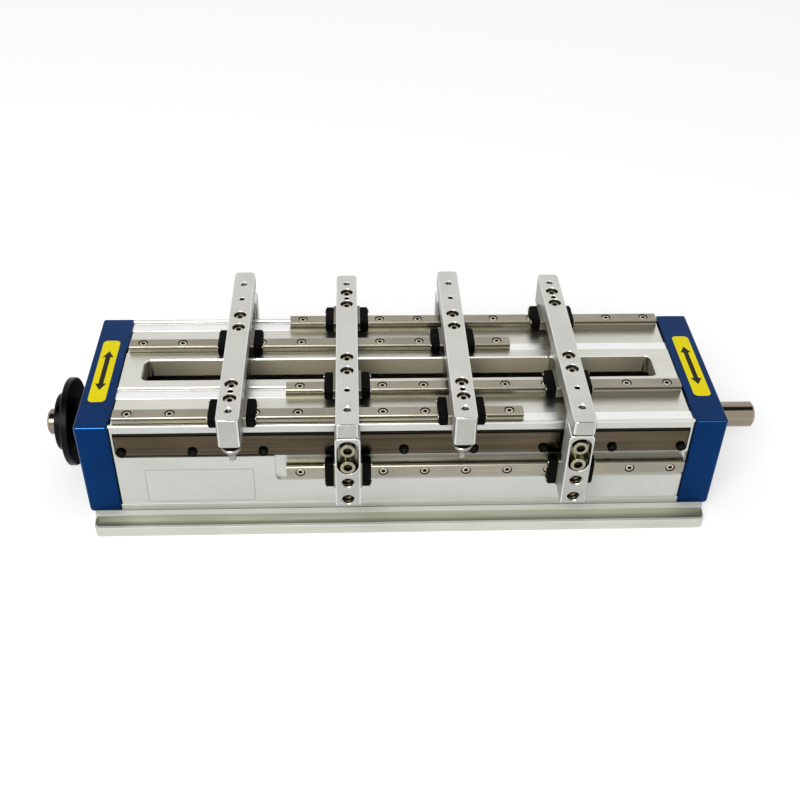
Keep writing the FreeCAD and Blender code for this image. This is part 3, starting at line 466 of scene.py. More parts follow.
# Nickel plated brass fitting: grey, slightly yellow metal.
PLATED_BRASS = Finish(
    "brass_nickel_plated", "#8f8c84", "#a9a69c", metallic=1.0, smooth=0.20, rough=0.32,
    lay=Lay.GRAIN, mark_mm=0.35, relief_mm=0.002, cloud_mm=5.0,
)
# Printed vinyl film: strong yellow with a soft gloss.
YELLOW_FILM = Finish(
    "vinyl_film_yellow", "#eddb00", "#f6e500", metallic=0.0, smooth=0.40, rough=0.52,
    lay=Lay.GRAIN, mark_mm=0.8, relief_mm=0.003, cloud_mm=12.0, gleam=0.15,
)
# Screen ink on the film: black brown, slightly duller than the film.
PRINT_INK = Finish(
    "screen_ink_black", "#1a1810", "#27241a", metallic=0.0, smooth=0.42, rough=0.55,
    lay=Lay.GRAIN, mark_mm=0.5, relief_mm=0.002, cloud_mm=6.0, gleam=0.15,
)
# Blank label stock: silvery white film.
WHITE_FILM = Finish(
    "polyester_film_white", "#c6c6c2", "#cdcdc9", metallic=0.0, smooth=0.34, rough=0.44,
    lay=Lay.GRAIN, mark_mm=1.4, relief_mm=0.002, cloud_mm=20.0, gleam=0.3,
)
# Screen ink of the thin line round a blank label: mid grey, slightly duller than the film.
GREY_INK = Finish(
    "screen_ink_grey", "#8f918f", "#a2a4a2", metallic=0.0, smooth=0.45, rough=0.55,
    lay=Lay.GRAIN, mark_mm=0.5, relief_mm=0.002, cloud_mm=6.0, gleam=0.3,
)


# ---- surfaces


@dataclass
class Surface:
    """A closed surface: points in millimetres, with the quads and triangles that join them."""

    points: np.ndarray
    quads: np.ndarray
    tris: np.ndarray

    def repeated(self, turns: np.ndarray, shifts: np.ndarray) -> "Surface":
        """Copies the surface to many places at once: each point becomes turn times point plus shift.

        Args:
            turns: one 3 by 3 turn per copy.
            shifts: one shift in millimetres per copy.

        Returns:
            All the copies as one surface.
        """
        moved = np.einsum("nij,pj->npi", turns, self.points) + shifts[:, None, :]
        step = np.arange(len(shifts))[:, None, None] * len(self.points)
        quads = (self.quads[None] + step).reshape(-1, 4)
        tris = (self.tris[None] + step).reshape(-1, 3)
        return Surface(moved.reshape(-1, 3), quads, tris)

    def placed(self, facing: Facing, shifts: Sequence[Sequence[float]]) -> "Surface":
        """Copies the surface to a list of places that look the same way."""
        places = np.array(shifts, float).reshape(-1, 3)
        return self.repeated(np.repeat(facing.turn[None], len(places), axis=0), places)

    @staticmethod
    def joined(parts: Sequence["Surface"]) -> "Surface":
        """Puts several surfaces into one, each part's indices moved past the points before it."""
        starts = np.cumsum([0] + [len(p.points) for p in parts[:-1]])
        return Surface(
            np.concatenate([p.points for p in parts]),
            np.concatenate([p.quads + s for p, s in zip(parts, starts)]),
            np.concatenate([p.tris + s for p, s in zip(parts, starts)]),
        )


def loft(rings: np.ndarray, loop: bool = False) -> Surface:
    """Skins a stack of closed rings, ring i joined to ring i + 1 point by point.

    Args:
        rings: array of rings by points by 3, each ring running anticlockwise seen from the stack's end.
        loop: True joins the last ring to the first; False closes both end rings by fans to their centres.

    Returns:
        The closed surface.
    """
    count, size, _ = rings.shape
    index = np.arange(count * size).reshape(count, size)
    beside = np.roll(index, -1, axis=1)
    above, above_beside = np.roll(index, -1, axis=0), np.roll(beside, -1, axis=0)
    last = count if loop else count - 1
    quads = np.stack([index, beside, above_beside, above], axis=-1)[:last].reshape(-1, 4)
    points = rings.reshape(-1, 3)
    if loop:
        return Surface(points, quads, np.zeros((0, 3), int))
    low, high = np.full(size, count * size), np.full(size, count * size + 1)
    tris = np.concatenate(
        [np.stack([low, beside[0], index[0]], axis=-1), np.stack([high, index[-1], beside[-1]], axis=-1)]
    )
    return Surface(np.concatenate([points, rings[[0, -1]].mean(axis=1)]), quads, tris)


def revolved(rows: np.ndarray, segments: int, loop: bool = False) -> Surface:
    """Turns a profile about local z: x = r cos a, y = r sin a, z = z.

    Args:
        rows: radius and z of each profile point, from the bottom outwards to the top.
        segments: points round each ring.
        loop: True for a profile that closes on itself.

    Returns:
        The closed surface.
    """
    angle = np.linspace(0.0, 2.0 * np.pi, segments, endpoint=False)
    rings = np.stack(
        [
            rows[:, :1] * np.cos(angle),
            rows[:, :1] * np.sin(angle),
            np.broadcast_to(rows[:, 1:2], (len(rows), segments)),
        ],
        axis=-1,
    )
    return loft(rings, loop)


def rounded_outline(width: float, height: float, corner: float, steps: int = 8) -> np.ndarray:
    """Outline of a rounded rectangle: four quarter arcs, each round its own corner centre, joined in turn.

    Args:
        width: size along local x.
        height: size along local y.
        corner: radius of the corners.
        steps: points on each corner.

    Returns:
        The outline's points, running anticlockwise.
    """
    angle = np.arange(4)[:, None] * np.pi / 2 + np.linspace(0.0, np.pi / 2, steps)[None]
    side = np.array([[1, 1], [-1, 1], [-1, -1], [1, -1]], float) * (width / 2 - corner, height / 2 - corner)
    return (side[:, None] + corner * np.stack([np.cos(angle), np.sin(angle)], axis=-1)).reshape(-1, 2)


def lifted(outline: np.ndarray, height: float) -> np.ndarray:
    """Puts a flat outline at a height on local z."""
    return np.column_stack([outline, np.full(len(outline), height)])


def film(width: float, height: float, corner: float, thick: float, edge: float = 0.03) -> Surface:
    """Thin rounded plate on local z = 0: its outline rises, then draws in by the edge at the top.

    Args:
        width: size along local x.
        height: size along local y.
        corner: radius of the corners.
        thick: thickness.
        edge: width of the broken edge round its top.

    Returns:
        The closed plate.
    """
    steps = ((0.0, 0.0), (0.0, thick - edge), (edge, thick))
    rings = [lifted(rounded_outline(width - 2 * i, height - 2 * i, corner - i), z) for i, z in steps]
    return loft(np.stack(rings))


def printed_frame(
    width: float, height: float, corner: float, line: float, low: float, high: float
) -> Surface:
    """Thin raised line round a rounded rectangle: outer outline up, across and down the inner outline.

    Args:
        width: outer size along local x.
        height: outer size along local y.
        corner: radius of the outer corners.
        line: width of the line.
        low: height of its underside.
        high: height of its top.

    Returns:
        The closed line.
    """
    steps = ((0.0, low), (0.0, high), (line, high), (line, low))
    rings = [lifted(rounded_outline(width - 2 * i, height - 2 * i, corner - i), z) for i, z in steps]
    return loft(np.stack(rings), loop=True)


def prism(outline: Sequence[Sequence[float]], low: float, high: float) -> Surface:
    """Convex flat outline carried straight up local z from low to high."""
    flat = np.array(outline, float)
    return loft(np.stack([lifted(flat, low), lifted(flat, high)]))


@dataclass(frozen=True)
class SocketScrew:
    """Hexagon socket screw, head top on local z = 0 and shank towards -z, in millimetres.

    Shares of the tip are of the shank's radius, those of the head are of its edge, and those of the socket's
    mouth and floor are of half the key. Each pair is for a radius and a length.
    """

    head_r: float
    head_h: float
    shank_r: float
    shank_l: float
    key: float
    socket: float
    edge: float
    segments: int = ROUND_POINTS
    rim_points: int = 4
    tip_share: tuple[float, float] = (0.7, 0.3)
    under_share: float = 0.5
    wall_share: float = 1.6
    mouth_share: tuple[float, float] = (1.22, 0.18)
    floor_share: tuple[float, float] = (0.2, 0.45)
    socket_reach: float = 0.6

    def surface(self) -> Surface:
        """Rings from the shank's tip, up over the head and down the socket.

        A ring's radius is r for a circle and r / cos(angle from the middle of a flat) for a hexagon. Each row
        holds a radius, a height, and 1 for a hexagon or 0 for a circle.

        Returns:
            The closed screw.
        """
        flat = self.key / 2
        tip = -self.head_h - self.shank_l
        under = self.under_share * self.edge
        arc = np.linspace(0.0, np.pi / 2, self.rim_points)
        rim_r, rim_z = self.head_r - self.edge * (1 - np.cos(arc)), -self.edge * (1 - np.sin(arc))
        rim = np.column_stack([rim_r, rim_z, 0 * arc])
        below = [
            (self.tip_share[0] * self.shank_r, tip, 0),
            (self.shank_r, tip + self.tip_share[1] * self.shank_r, 0),
            (self.shank_r, -self.head_h, 0),
            (self.head_r - under, -self.head_h, 0),
            (self.head_r, -self.head_h + under, 0),
            (self.head_r, -self.wall_share * self.edge, 0),
        ]
        inside = [
            (self.mouth_share[0] * flat, 0.0, 0),
            (flat, -self.mouth_share[1] * flat, 1),
            (flat, -self.socket, 1),
            (self.floor_share[0] * flat, -self.socket - self.floor_share[1] * flat, 1),
        ]
        rows = np.concatenate([np.array(below, float), rim, np.array(inside, float)])
        angle = np.linspace(0.0, 2.0 * np.pi, self.segments, endpoint=False)
        hexagon = 1.0 / np.cos(np.mod(angle, np.pi / 3) - np.pi / 6) - 1.0
        radius = rows[:, :1] * (1.0 + rows[:, 2:] * hexagon)
        height = np.broadcast_to(rows[:, 1:2], radius.shape)
        return loft(np.stack([radius * np.cos(angle), radius * np.sin(angle), height], axis=-1))

    def set_in(self, facing: Facing, places: Sequence[Sequence[float]], seed: int) -> Surface:
        """Sets a screw at each place, each with its socket at a chance angle, as fitted by hand.

        Args:
            facing: way that the heads look.
            places: middle of each head's top.
            seed: start of the chance angles.

        Returns:
            All the screws as one surface.
        """
        shifts = np.array(places, float).reshape(-1, 3)
        roll = np.random.default_rng(seed).uniform(0.0, np.pi / 3, len(shifts))
        zero, one = np.zeros_like(roll), np.ones_like(roll)
        spin = np.stack(
            [
                np.stack([np.cos(roll), -np.sin(roll), zero], axis=-1),
                np.stack([np.sin(roll), np.cos(roll), zero], axis=-1),
                np.stack([zero, zero, one], axis=-1),
            ],
            axis=1,
        )
        return self.surface().repeated(facing.turn[None] @ spin, shifts)

    def fit(
        self,
        name: str,
        rows: Sequence[tuple[Facing, np.ndarray]],
        finish: Finish,
        body: str,
        slot: str,
        node: str,
    ) -> None:
        """Makes one piece of all the screws of a node, with painted shade in the sockets.

        Args:
            name: name of the piece.
            rows: for each row of screws, the way its heads look and the middles of the heads' tops.
            finish: material of the screws.
            body: body that carries them.
            slot: the record's material slot; not used.
            node: CAD node that the piece replaces.
        """
        seeds = range(TURN_SEED, TURN_SEED + len(rows))
        parts = [self.set_in(facing, places, seed) for (facing, places), seed in zip(rows, seeds)]
        piece = make_piece(name, Surface.joined(parts), finish, body)
        wide, deep = self.socket_reach * self.key, self.socket + self.key
        for facing, places in rows:
            # Painted shade inside the sockets.
            refinish(piece, in_bores(piece, facing, places, wide, deep), SHADED_BORE_STEEL)
        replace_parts(piece, node)


def thread_sleeve(radius: float, depth: float, pitch: float, rise: float) -> Surface:
    """Screw thread inside a hole that opens on local z = 0.

    The inner radius is radius - rise * w, where w is a triangle wave of (z / pitch - angle / full turn), and
    fades to nothing at both ends; a plain outer wall closes the sleeve.

    Args:
        radius: radius of the hole.
        depth: threaded depth.
        pitch: rise of the thread in one turn.
        rise: depth of the thread.

    Returns:
        The closed sleeve.
    """
    angle = np.linspace(0.0, 2.0 * np.pi, THREAD_POINTS, endpoint=False)
    z = np.linspace(0.0, -depth, int(THREAD_RINGS * depth / pitch))[:, None]
    wave = 1.0 - np.abs(2.0 * np.mod(z / pitch - angle / (2.0 * np.pi), 1.0) - 1.0)
    fade = np.clip(np.minimum(-z, z + depth) / pitch, 0.0, 1.0)
    inner = radius - THREAD_IN - rise * wave * fade
    outer = np.full((2, len(angle)), radius + THREAD_OUT)
    r = np.concatenate([outer, inner])
    height = np.concatenate([np.array([[-depth], [0.0]]), z]) + 0.0 * angle
    return loft(np.stack([r * np.cos(angle), r * np.sin(angle), height], axis=-1), loop=True)


def rim_ring(radius: float, inner: float, top: float = 0.0) -> Surface:
    """Countersunk rim inside a hole that opens on local z = 0: a cone at 45 degrees, closed behind as a ring.

    Args:
        radius: radius of the hole.
        inner: radius at the cone's foot.
        top: height of the cone's upper edge.

    Returns:
        The closed ring.
    """
    foot = top - (radius - inner)
    rows = np.array([(radius, foot - RIM_BACK), (radius, top), (inner, foot), (inner, foot - RIM_BACK)])
    return revolved(rows, ROUND_POINTS, loop=True)


# ---- pieces


def put_in_scene(
    mesh: bpy.types.Mesh, finish: Finish, body: str
) -> bpy.types.Object:
    """Shades a mesh smooth between its sharp edges and puts it into the scene as a piece on a body.

    Args:
        mesh: the piece's mesh, whose name becomes the piece's name.
        finish: its material.
        body: body that carries it.

    Returns:
        The new object.
    """
    mesh.polygons.foreach_set("use_smooth", np.ones(len(mesh.polygons), bool))
    mesh.set_sharp_from_angle(angle=SHARP_EDGE)
    mesh.materials.clear()
    mesh.materials.append(finish.build())
    piece = bpy.data.objects.new(mesh.name, mesh)
    bpy.context.scene.collection.objects.link(piece)
    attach(piece, body)
    LOG.info("piece %s: %d faces", mesh.name, len(mesh.polygons))
    return piece


def surface_mesh(name: str, surface: Surface) -> bpy.types.Mesh:
    """Makes a mesh of a surface, with its faces turned outwards.

    Args:
        name: name of the mesh.
        surface: its shape in millimetres, in the module's axes.

    Returns:
        The mesh.
    """
    mesh = bpy.data.meshes.new(name)
    faces = surface.quads.tolist() + surface.tris.tolist()
    mesh.from_pydata((surface.points * MM).tolist(), [], faces)
    work = bmesh.new()
    work.from_mesh(mesh)
    bmesh.ops.recalc_face_normals(work, faces=work.faces)
    work.to_mesh(mesh)
    work.free()
    return mesh


def trimmed(mesh: bpy.types.Mesh, keep: Surface) -> bpy.types.Mesh:
    """Cuts a mesh down to the part of it that lies inside a closed surface.

    Args:
        mesh: the mesh to cut; it is used up.
        keep: surface that bounds what stays, in millimetres.

    Returns:
        The cut mesh, under the same name.
    """
    name = mesh.name
    work = bpy.data.objects.new("uncut", mesh)
    block = bpy.data.objects.new("block", surface_mesh("block", keep))
    bpy.context.scene.collection.objects.link(work)
    bpy.context.scene.collection.objects.link(block)
    cut = work.modifiers.new("cut", "BOOLEAN")
    cut.operation, cut.solver, cut.object = "INTERSECT", "EXACT", block
    done = bpy.data.meshes.new_from_object(work.evaluated_get(bpy.context.evaluated_depsgraph_get()))
    bpy.data.meshes.remove(block.data)
    bpy.data.meshes.remove(mesh)
    done.name = name
    return done


def make_piece(
    name: str, surface: Surface, finish: Finish, body: str
) -> bpy.types.Object:
    """Puts a surface, in millimetres and the module's axes, into the scene as a piece on a body."""
    return put_in_scene(surface_mesh(name, surface), finish, body)


def rounded_copy(
    node: str,
    finish: Finish,
    body: str,
    bevel_mm: float = 0.0,
    keep: Optional[Surface] = None,
) -> bpy.types.Object:
    """Replaces a CAD node by a copy whose round faces shade as round.

    Doubled corners are merged, flat neighbours are joined, and each corner's normal is the mean of its faces'
    normals weighted by their areas, except across sharp edges.

    Args:
        node: name of the node.
        finish: the copy's material.
        body: body that carries it.
        bevel_mm: width of the rounding put on its sharp edges, or 0 for none.
        keep: surface that the copy is cut down to, where it is cut.

    Returns:
        The copy.
    """
    mesh = bpy.data.meshes.new(f"{node}_finished")
    work = bmesh.new()
    work.from_mesh(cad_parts[node].data)
    bmesh.ops.remove_doubles(work, verts=work.verts, dist=MERGE_MM * MM)
    if keep:
        work.to_mesh(mesh)
        mesh = trimmed(mesh, keep)
        work.clear()
        work.from_mesh(mesh)
    bmesh.ops.dissolve_limit(work, angle_limit=FLAT_ANGLE, verts=work.verts, edges=work.edges)
    work.to_mesh(mesh)
    work.free()
    piece = put_in_scene(mesh, finish, body)
    if bevel_mm:
        bevel = piece.modifiers.new("broken_edges", "BEVEL")
        bevel.width, bevel.segments, bevel.angle_limit = bevel_mm * MM, BEVEL_STEPS, SHARP_EDGE
    weigh = piece.modifiers.new("flat_faces_lead", "WEIGHTED_NORMAL")
    weigh.keep_sharp = True
    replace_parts(piece, node)
    return piece


def face_middles(piece: bpy.types.Object) -> np.ndarray:
    """Middles of a piece's faces.

    Args:
        piece: the piece.

    Returns:
        One point in millimetres per face.
    """
    middle = np.empty(3 * len(piece.data.polygons))
    piece.data.polygons.foreach_get("center", middle)
    return middle.reshape(-1, 3) / MM


def in_bores(
    piece: bpy.types.Object, facing: Facing, mouths: np.ndarray, radius: float, depth: float
) -> np.ndarray:
    """Finds the faces inside round holes: below the mouth by less than the depth, and near the hole's axis.

    With d from the mouth to the face's middle and u the way out, d.u lies between -depth and just under 0,
    and the length of d - (d.u) u is less than the radius.

    Args:
        piece: the piece with the holes.
        facing: way that the holes look.
        mouths: middle of each mouth, in millimetres.
        radius: reach from the axis.
        depth: reach below the mouth.

    Returns:
        True for each face that lies in a hole.
    """
    reach = face_middles(piece)[:, None] - mouths[None]
    along = reach @ facing.way
    beside = np.linalg.norm(reach - along[..., None] * facing.way, axis=-1)
    return ((along < -MOUTH_MM) & (along > -depth) & (beside < radius)).any(axis=1)


def face_ways(piece: bpy.types.Object) -> np.ndarray:
    """Ways that a piece's faces look.

    Args:
        piece: the piece.

    Returns:
        One unit vector per face.
    """
    normal = np.empty(3 * len(piece.data.polygons))
    piece.data.polygons.foreach_get("normal", normal)
    return normal.reshape(-1, 3)


def upright(piece: bpy.types.Object) -> np.ndarray:
    """Finds a piece's upright flat faces, which look along X or Y; rounded and bevelled edges stay out."""
    return np.abs(face_ways(piece)[:, :2]).max(axis=1) > STRAIGHT


def slanted(piece: bpy.types.Object) -> np.ndarray:
    """Finds a piece's chamfers and the middles of its rounded edges, which look along no axis."""
    return np.abs(face_ways(piece)).max(axis=1) < STRAIGHT


def refinish(piece: bpy.types.Object, chosen: np.ndarray, finish: Finish) -> None:
    """Gives chosen faces of a piece another finish.

    Args:
        piece: the piece.
        chosen: True for each face that changes.
        finish: the faces' new material.
    """
    mesh = piece.data
    if mesh.materials.find(finish.name) < 0:
        mesh.materials.append(finish.build())
    index = np.empty(len(mesh.polygons), np.int32)
    mesh.polygons.foreach_get("material_index", index)
    index[chosen] = mesh.materials.find(finish.name)
    mesh.polygons.foreach_set("material_index", index)


def even_row(count: int, pitch: float, middle: float = 0.0) -> np.ndarray:
    """Places of a row of equal steps about its middle."""
    return middle + (np.arange(count) - (count - 1) / 2) * pitch


def spots(x: Any, y: Any, z: Any) -> np.ndarray:
    """Points from coordinates that are numbers or equal rows."""
    return np.stack(np.broadcast_arrays(*map(np.atleast_1d, (x, y, z))), axis=-1).astype(float)


@dataclass
class Plinth:
    """Base and body, with seat strips, dark joint lines, painted shadow lines beside the end plates and over
    the covers, two blank labels and threads under the base.
    """

    face_y: float = 32.8
    left_label_at: tuple[float, float] = (-74.1, 19.6)
    left_label_size: tuple[float, float] = (39.8, 16.2)
    left_label_corner: float = 1.2
    right_label_at: tuple[float, float] = (82.1, 16.1)
    right_label_size: tuple[float, float] = (40.3, 10.4)
    right_label_corner: float = 0.6
    print_inset: float = 0.6
    print_corner: float = 0.9
    print_wide: float = 0.22
    ink_sunk: float = 0.02
    ink_proud: float = 0.015
    bolt_x: float = 90.0
    bolt_y: float = 28.0
    bolt_r: float = 2.0
    bolt_depth: float = 5.5
    bolt_pitch: float = 0.7
    bolt_rise: float = 0.3
    slot_half: tuple[float, float] = (100.0, 6.3)
    slot_low: float = 36.0
    ledge_y: float = 31.2
    ledge_z: float = 33.3
    stripe_half: float = 102.9
    stripe_z: tuple[float, float] = (43.6, 44.7)
    strip_corner: float = 0.1
    gap_y: float = 29.3
    gap_z: tuple[float, float] = (42.65, 43.75)
    body_end: float = 104.0
    plate_gap: float = 0.4
    lip_y: float = 31.0
    land_y: float = 11.0
    land_z: float = 47.7
    side_z: tuple[float, float] = (10.5, 47.3)
    seat_from: float = 42.6
    seat_wide: float = 4.9
    seat_y: tuple[float, float] = (28.5, 13.5)
    seat_z: float = 46.7
    joint_half: float = 113.9
    joint_high: float = 0.25
    joint_y: float = 33.1
    joint_z: float = 7.5
    line_corner: float = 0.05
    line_mm: float = 0.03
    line_edge: float = 0.01
    base_end: float = 114.1
    base_corner: float = 2.6
    lip_corner: float = 2.0
    lip_half: float = 39.2
    cove_at: tuple[float, float] = (38.6, 7.5)
    cove_r: float = 3.2
    cove_points: int = 17
    block_over: float = 1.0
    groove_y: float = 35.0
    groove_z: tuple[float, float] = (4.35, 6.95)

    def sides(self, body: bpy.types.Object) -> None:
        """Gives the body's sides, slot walls, chamfers and the dark gaps at its covers their finishes:
        painted shade on the sides, towards the slot's ends, on the ledge under each cover and in the gaps
        over the covers.

        Args:
            body: the body's piece.
        """
        x, y, z = np.abs(face_middles(body)).T
        walls = upright(body)
        behind = y < self.face_y
        ledge = ~walls & (y > self.ledge_y) & behind & (np.abs(z - self.ledge_z) < REACH_MM)
        slot = walls & (x < self.slot_half[0]) & (y < self.slot_half[1]) & (z > self.slot_low)
        gap = (y > self.gap_y) & behind & (z > self.gap_z[0]) & (z < self.gap_z[1])
        # Upright faces: darker as painted shade.
        refinish(body, walls, SHADED_FLANK_ALUMINIUM)
        # The ledge under a cover: painted shade.
        refinish(body, ledge, JOINT_DIRT_AND_SHADE)
        refinish(body, slanted(body) & (z > self.seat_z), RIM_ALUMINIUM)
        # Slot walls: darker towards the slot's ends as painted shade.
        refinish(body, slot, SLOT_ALUMINIUM)
        # The gaps over the covers: painted shade.
        refinish(body, gap, SHADED_BORE_STEEL)

    def seats(self) -> None:
        """Builds the four bright strips where the rail seats run on past the rails' ends."""
        strip = film(self.body_end - self.seat_from, self.seat_wide, self.strip_corner, FILM_MM)
        x = (self.body_end + self.seat_from) / 2
        outer, inner = self.seat_y
        places = spots(np.array([-x, x, -x, x]), np.array([outer, inner, -inner, -outer]), self.seat_z)
        strips = strip.placed(Facing.UP, places)
        make_piece("seat_strips", strips, GROUND_ALUMINIUM, "frame")

    def line(self, wide: float, high: float, corner: float) -> Surface:
        """Dark line as a very thin film."""
        return film(wide, high, corner, self.line_mm, self.line_edge)

    @staticmethod
    def both_sides(line: Surface, x: Any, y: float, z: float) -> Surface:
        """Copies a line to the front at -y and to the rear at y."""
        front, rear = spots(x, -y, z), spots(x, y, z)
        return Surface.joined([line.placed(Facing.FRONT, front), line.placed(Facing.REAR, rear)])

    def joints(self) -> None:
        """Builds the dark lines of the joints over the base, and lines of painted shadow beside the end
        plates and over each cover.
        """
        line = self.line(2 * self.joint_half, self.joint_high, self.line_corner)
        both = self.both_sides(line, 0.0, self.joint_y, self.joint_z + self.joint_high / 2)
        make_piece("joint_lines", both, JOINT_DIRT_AND_SHADE, "frame")
        make_piece("plate_gap_shadow_lines", self.plate_gap_shadows(), GAP_SHADE, "frame")
        low, high = self.stripe_z
        line = self.line(2 * self.stripe_half, high - low, self.strip_corner)
        both = self.both_sides(line, 0.0, self.face_y, (low + high) / 2)
        make_piece("cover_gap_shadow_lines", both, GAP_SHADE, "frame")

    def plate_gap_shadows(self) -> Surface:
        """Painted shadow lines where the body meets the end plates: over its rail seats and land, and down
        both sides.

        Returns:
            All ten lines as one surface.
        """
        x = self.body_end - self.plate_gap / 2
        ends = np.array([-x, x])
        seat = self.line(self.plate_gap, self.lip_y - self.land_y, self.line_corner)
        middle = (self.lip_y + self.land_y) / 2
        land = self.line(self.plate_gap, 2 * self.land_y, self.line_corner)
        low, high = self.side_z
        down = self.line(self.plate_gap, high - low, self.line_corner)
        return Surface.joined(
            [
                seat.placed(Facing.UP, spots(ends, middle, self.seat_z)),
                seat.placed(Facing.UP, spots(ends, -middle, self.seat_z)),
                land.placed(Facing.UP, spots(ends, 0.0, self.land_z)),
                self.both_sides(down, ends, self.face_y, (low + high) / 2),
            ]
        )

    def base_block(self) -> Surface:
        """Bounds the base with rounded corners at every height: the lip, the groove over it, then the top.

        Each height is a rounded rectangle. In the groove, y is the groove's centre less its radius times the
        sine of an angle, and z is the centre less its radius times the cosine, as the angle runs over a
        quarter turn. The block stands clear of the base's straight faces, so that only the corners are cut.

        Returns:
            The block, taller than the base.
        """
        y, z = self.cove_at
        angle = np.linspace(0.0, np.pi / 2, self.cove_points)
        reach = self.cove_r - BLOCK_CLEAR
        cove_y, cove_z = y - reach * np.sin(angle), z - reach * np.cos(angle)
        lip = self.lip_half + BLOCK_CLEAR
        half = np.concatenate([[lip, lip], cove_y, cove_y[-1:]])
        height = np.concatenate([[-self.block_over, cove_z[0]], cove_z, [z + self.block_over]])
        corner = np.where(half > y + BLOCK_CLEAR, self.lip_corner, self.base_corner)
        wide = 2 * (self.base_end + BLOCK_CLEAR)
        outlines = [rounded_outline(wide, 2 * h, r, BLOCK_POINTS) for h, r in zip(half, corner)]
        return loft(np.stack([lifted(outline, level) for outline, level in zip(outlines, height)]))

    def grooves(self, base: bpy.types.Object) -> None:
        """Gives the base's top and the round grooves along it their own finishes: painted light on the top
        and painted shade in the grooves.

        Args:
            base: the base's piece.
        """
        _, y, z = np.abs(face_middles(base)).T
        low, high = self.groove_z
        # The base's top: its whiter tone is painted light.
        refinish(base, z > self.joint_z - REACH_MM, LIT_LAND_ALUMINIUM)
        # The grooves: darker as painted shade.
        refinish(base, (y > self.groove_y) & (z > low) & (z < high), SHADED_GROOVE_ALUMINIUM)

    def labels(self) -> None:
        """Builds the two blank labels; the left one has a thin printed line inside its edge."""
        (x, z), (wide, high) = self.left_label_at, self.left_label_size
        at = [(x, -self.face_y, z)]
        blank = film(wide, high, self.left_label_corner, FILM_MM)
        make_piece("label_blank_left", blank.placed(Facing.FRONT, at), WHITE_FILM, "frame")
        wide, high = wide - self.print_inset, high - self.print_inset
        low, top = FILM_MM - self.ink_sunk, FILM_MM + self.ink_proud
        line = printed_frame(wide, high, self.print_corner, self.print_wide, low, top)
        make_piece("label_line_left", line.placed(Facing.FRONT, at), GREY_INK, "frame")
        x, z = self.right_label_at
        blank = film(*self.right_label_size, self.right_label_corner, FILM_MM)
        at = [(x, -self.face_y, z)]
        make_piece("label_blank_right", blank.placed(Facing.FRONT, at), WHITE_FILM, "frame")

    def threads(self) -> None:
        """Builds the threads of the four bolt holes under the base."""
        sleeve = thread_sleeve(self.bolt_r, self.bolt_depth, self.bolt_pitch, self.bolt_rise)
        x, y = np.meshgrid((-self.bolt_x, self.bolt_x), (-self.bolt_y, self.bolt_y))
        threads = sleeve.placed(Facing.DOWN, spots(x.ravel(), y.ravel(), 0.0))
        # Threads: dark as painted shade.
        make_piece("base_threads", threads, SHADED_TAPPED_ALUMINIUM, "frame")

    def build(self) -> None:
        """Dresses the nodes and adds seat strips, joint lines, painted shadow lines, labels and threads."""
        block = self.base_block()
        self.grooves(rounded_copy("base", EXTRUDED_ALUMINIUM, "frame", keep=block))
        self.sides(rounded_copy("body", MILLED_ALUMINIUM, "frame"))
        self.seats()
        self.joints()
        self.labels()
        self.threads()


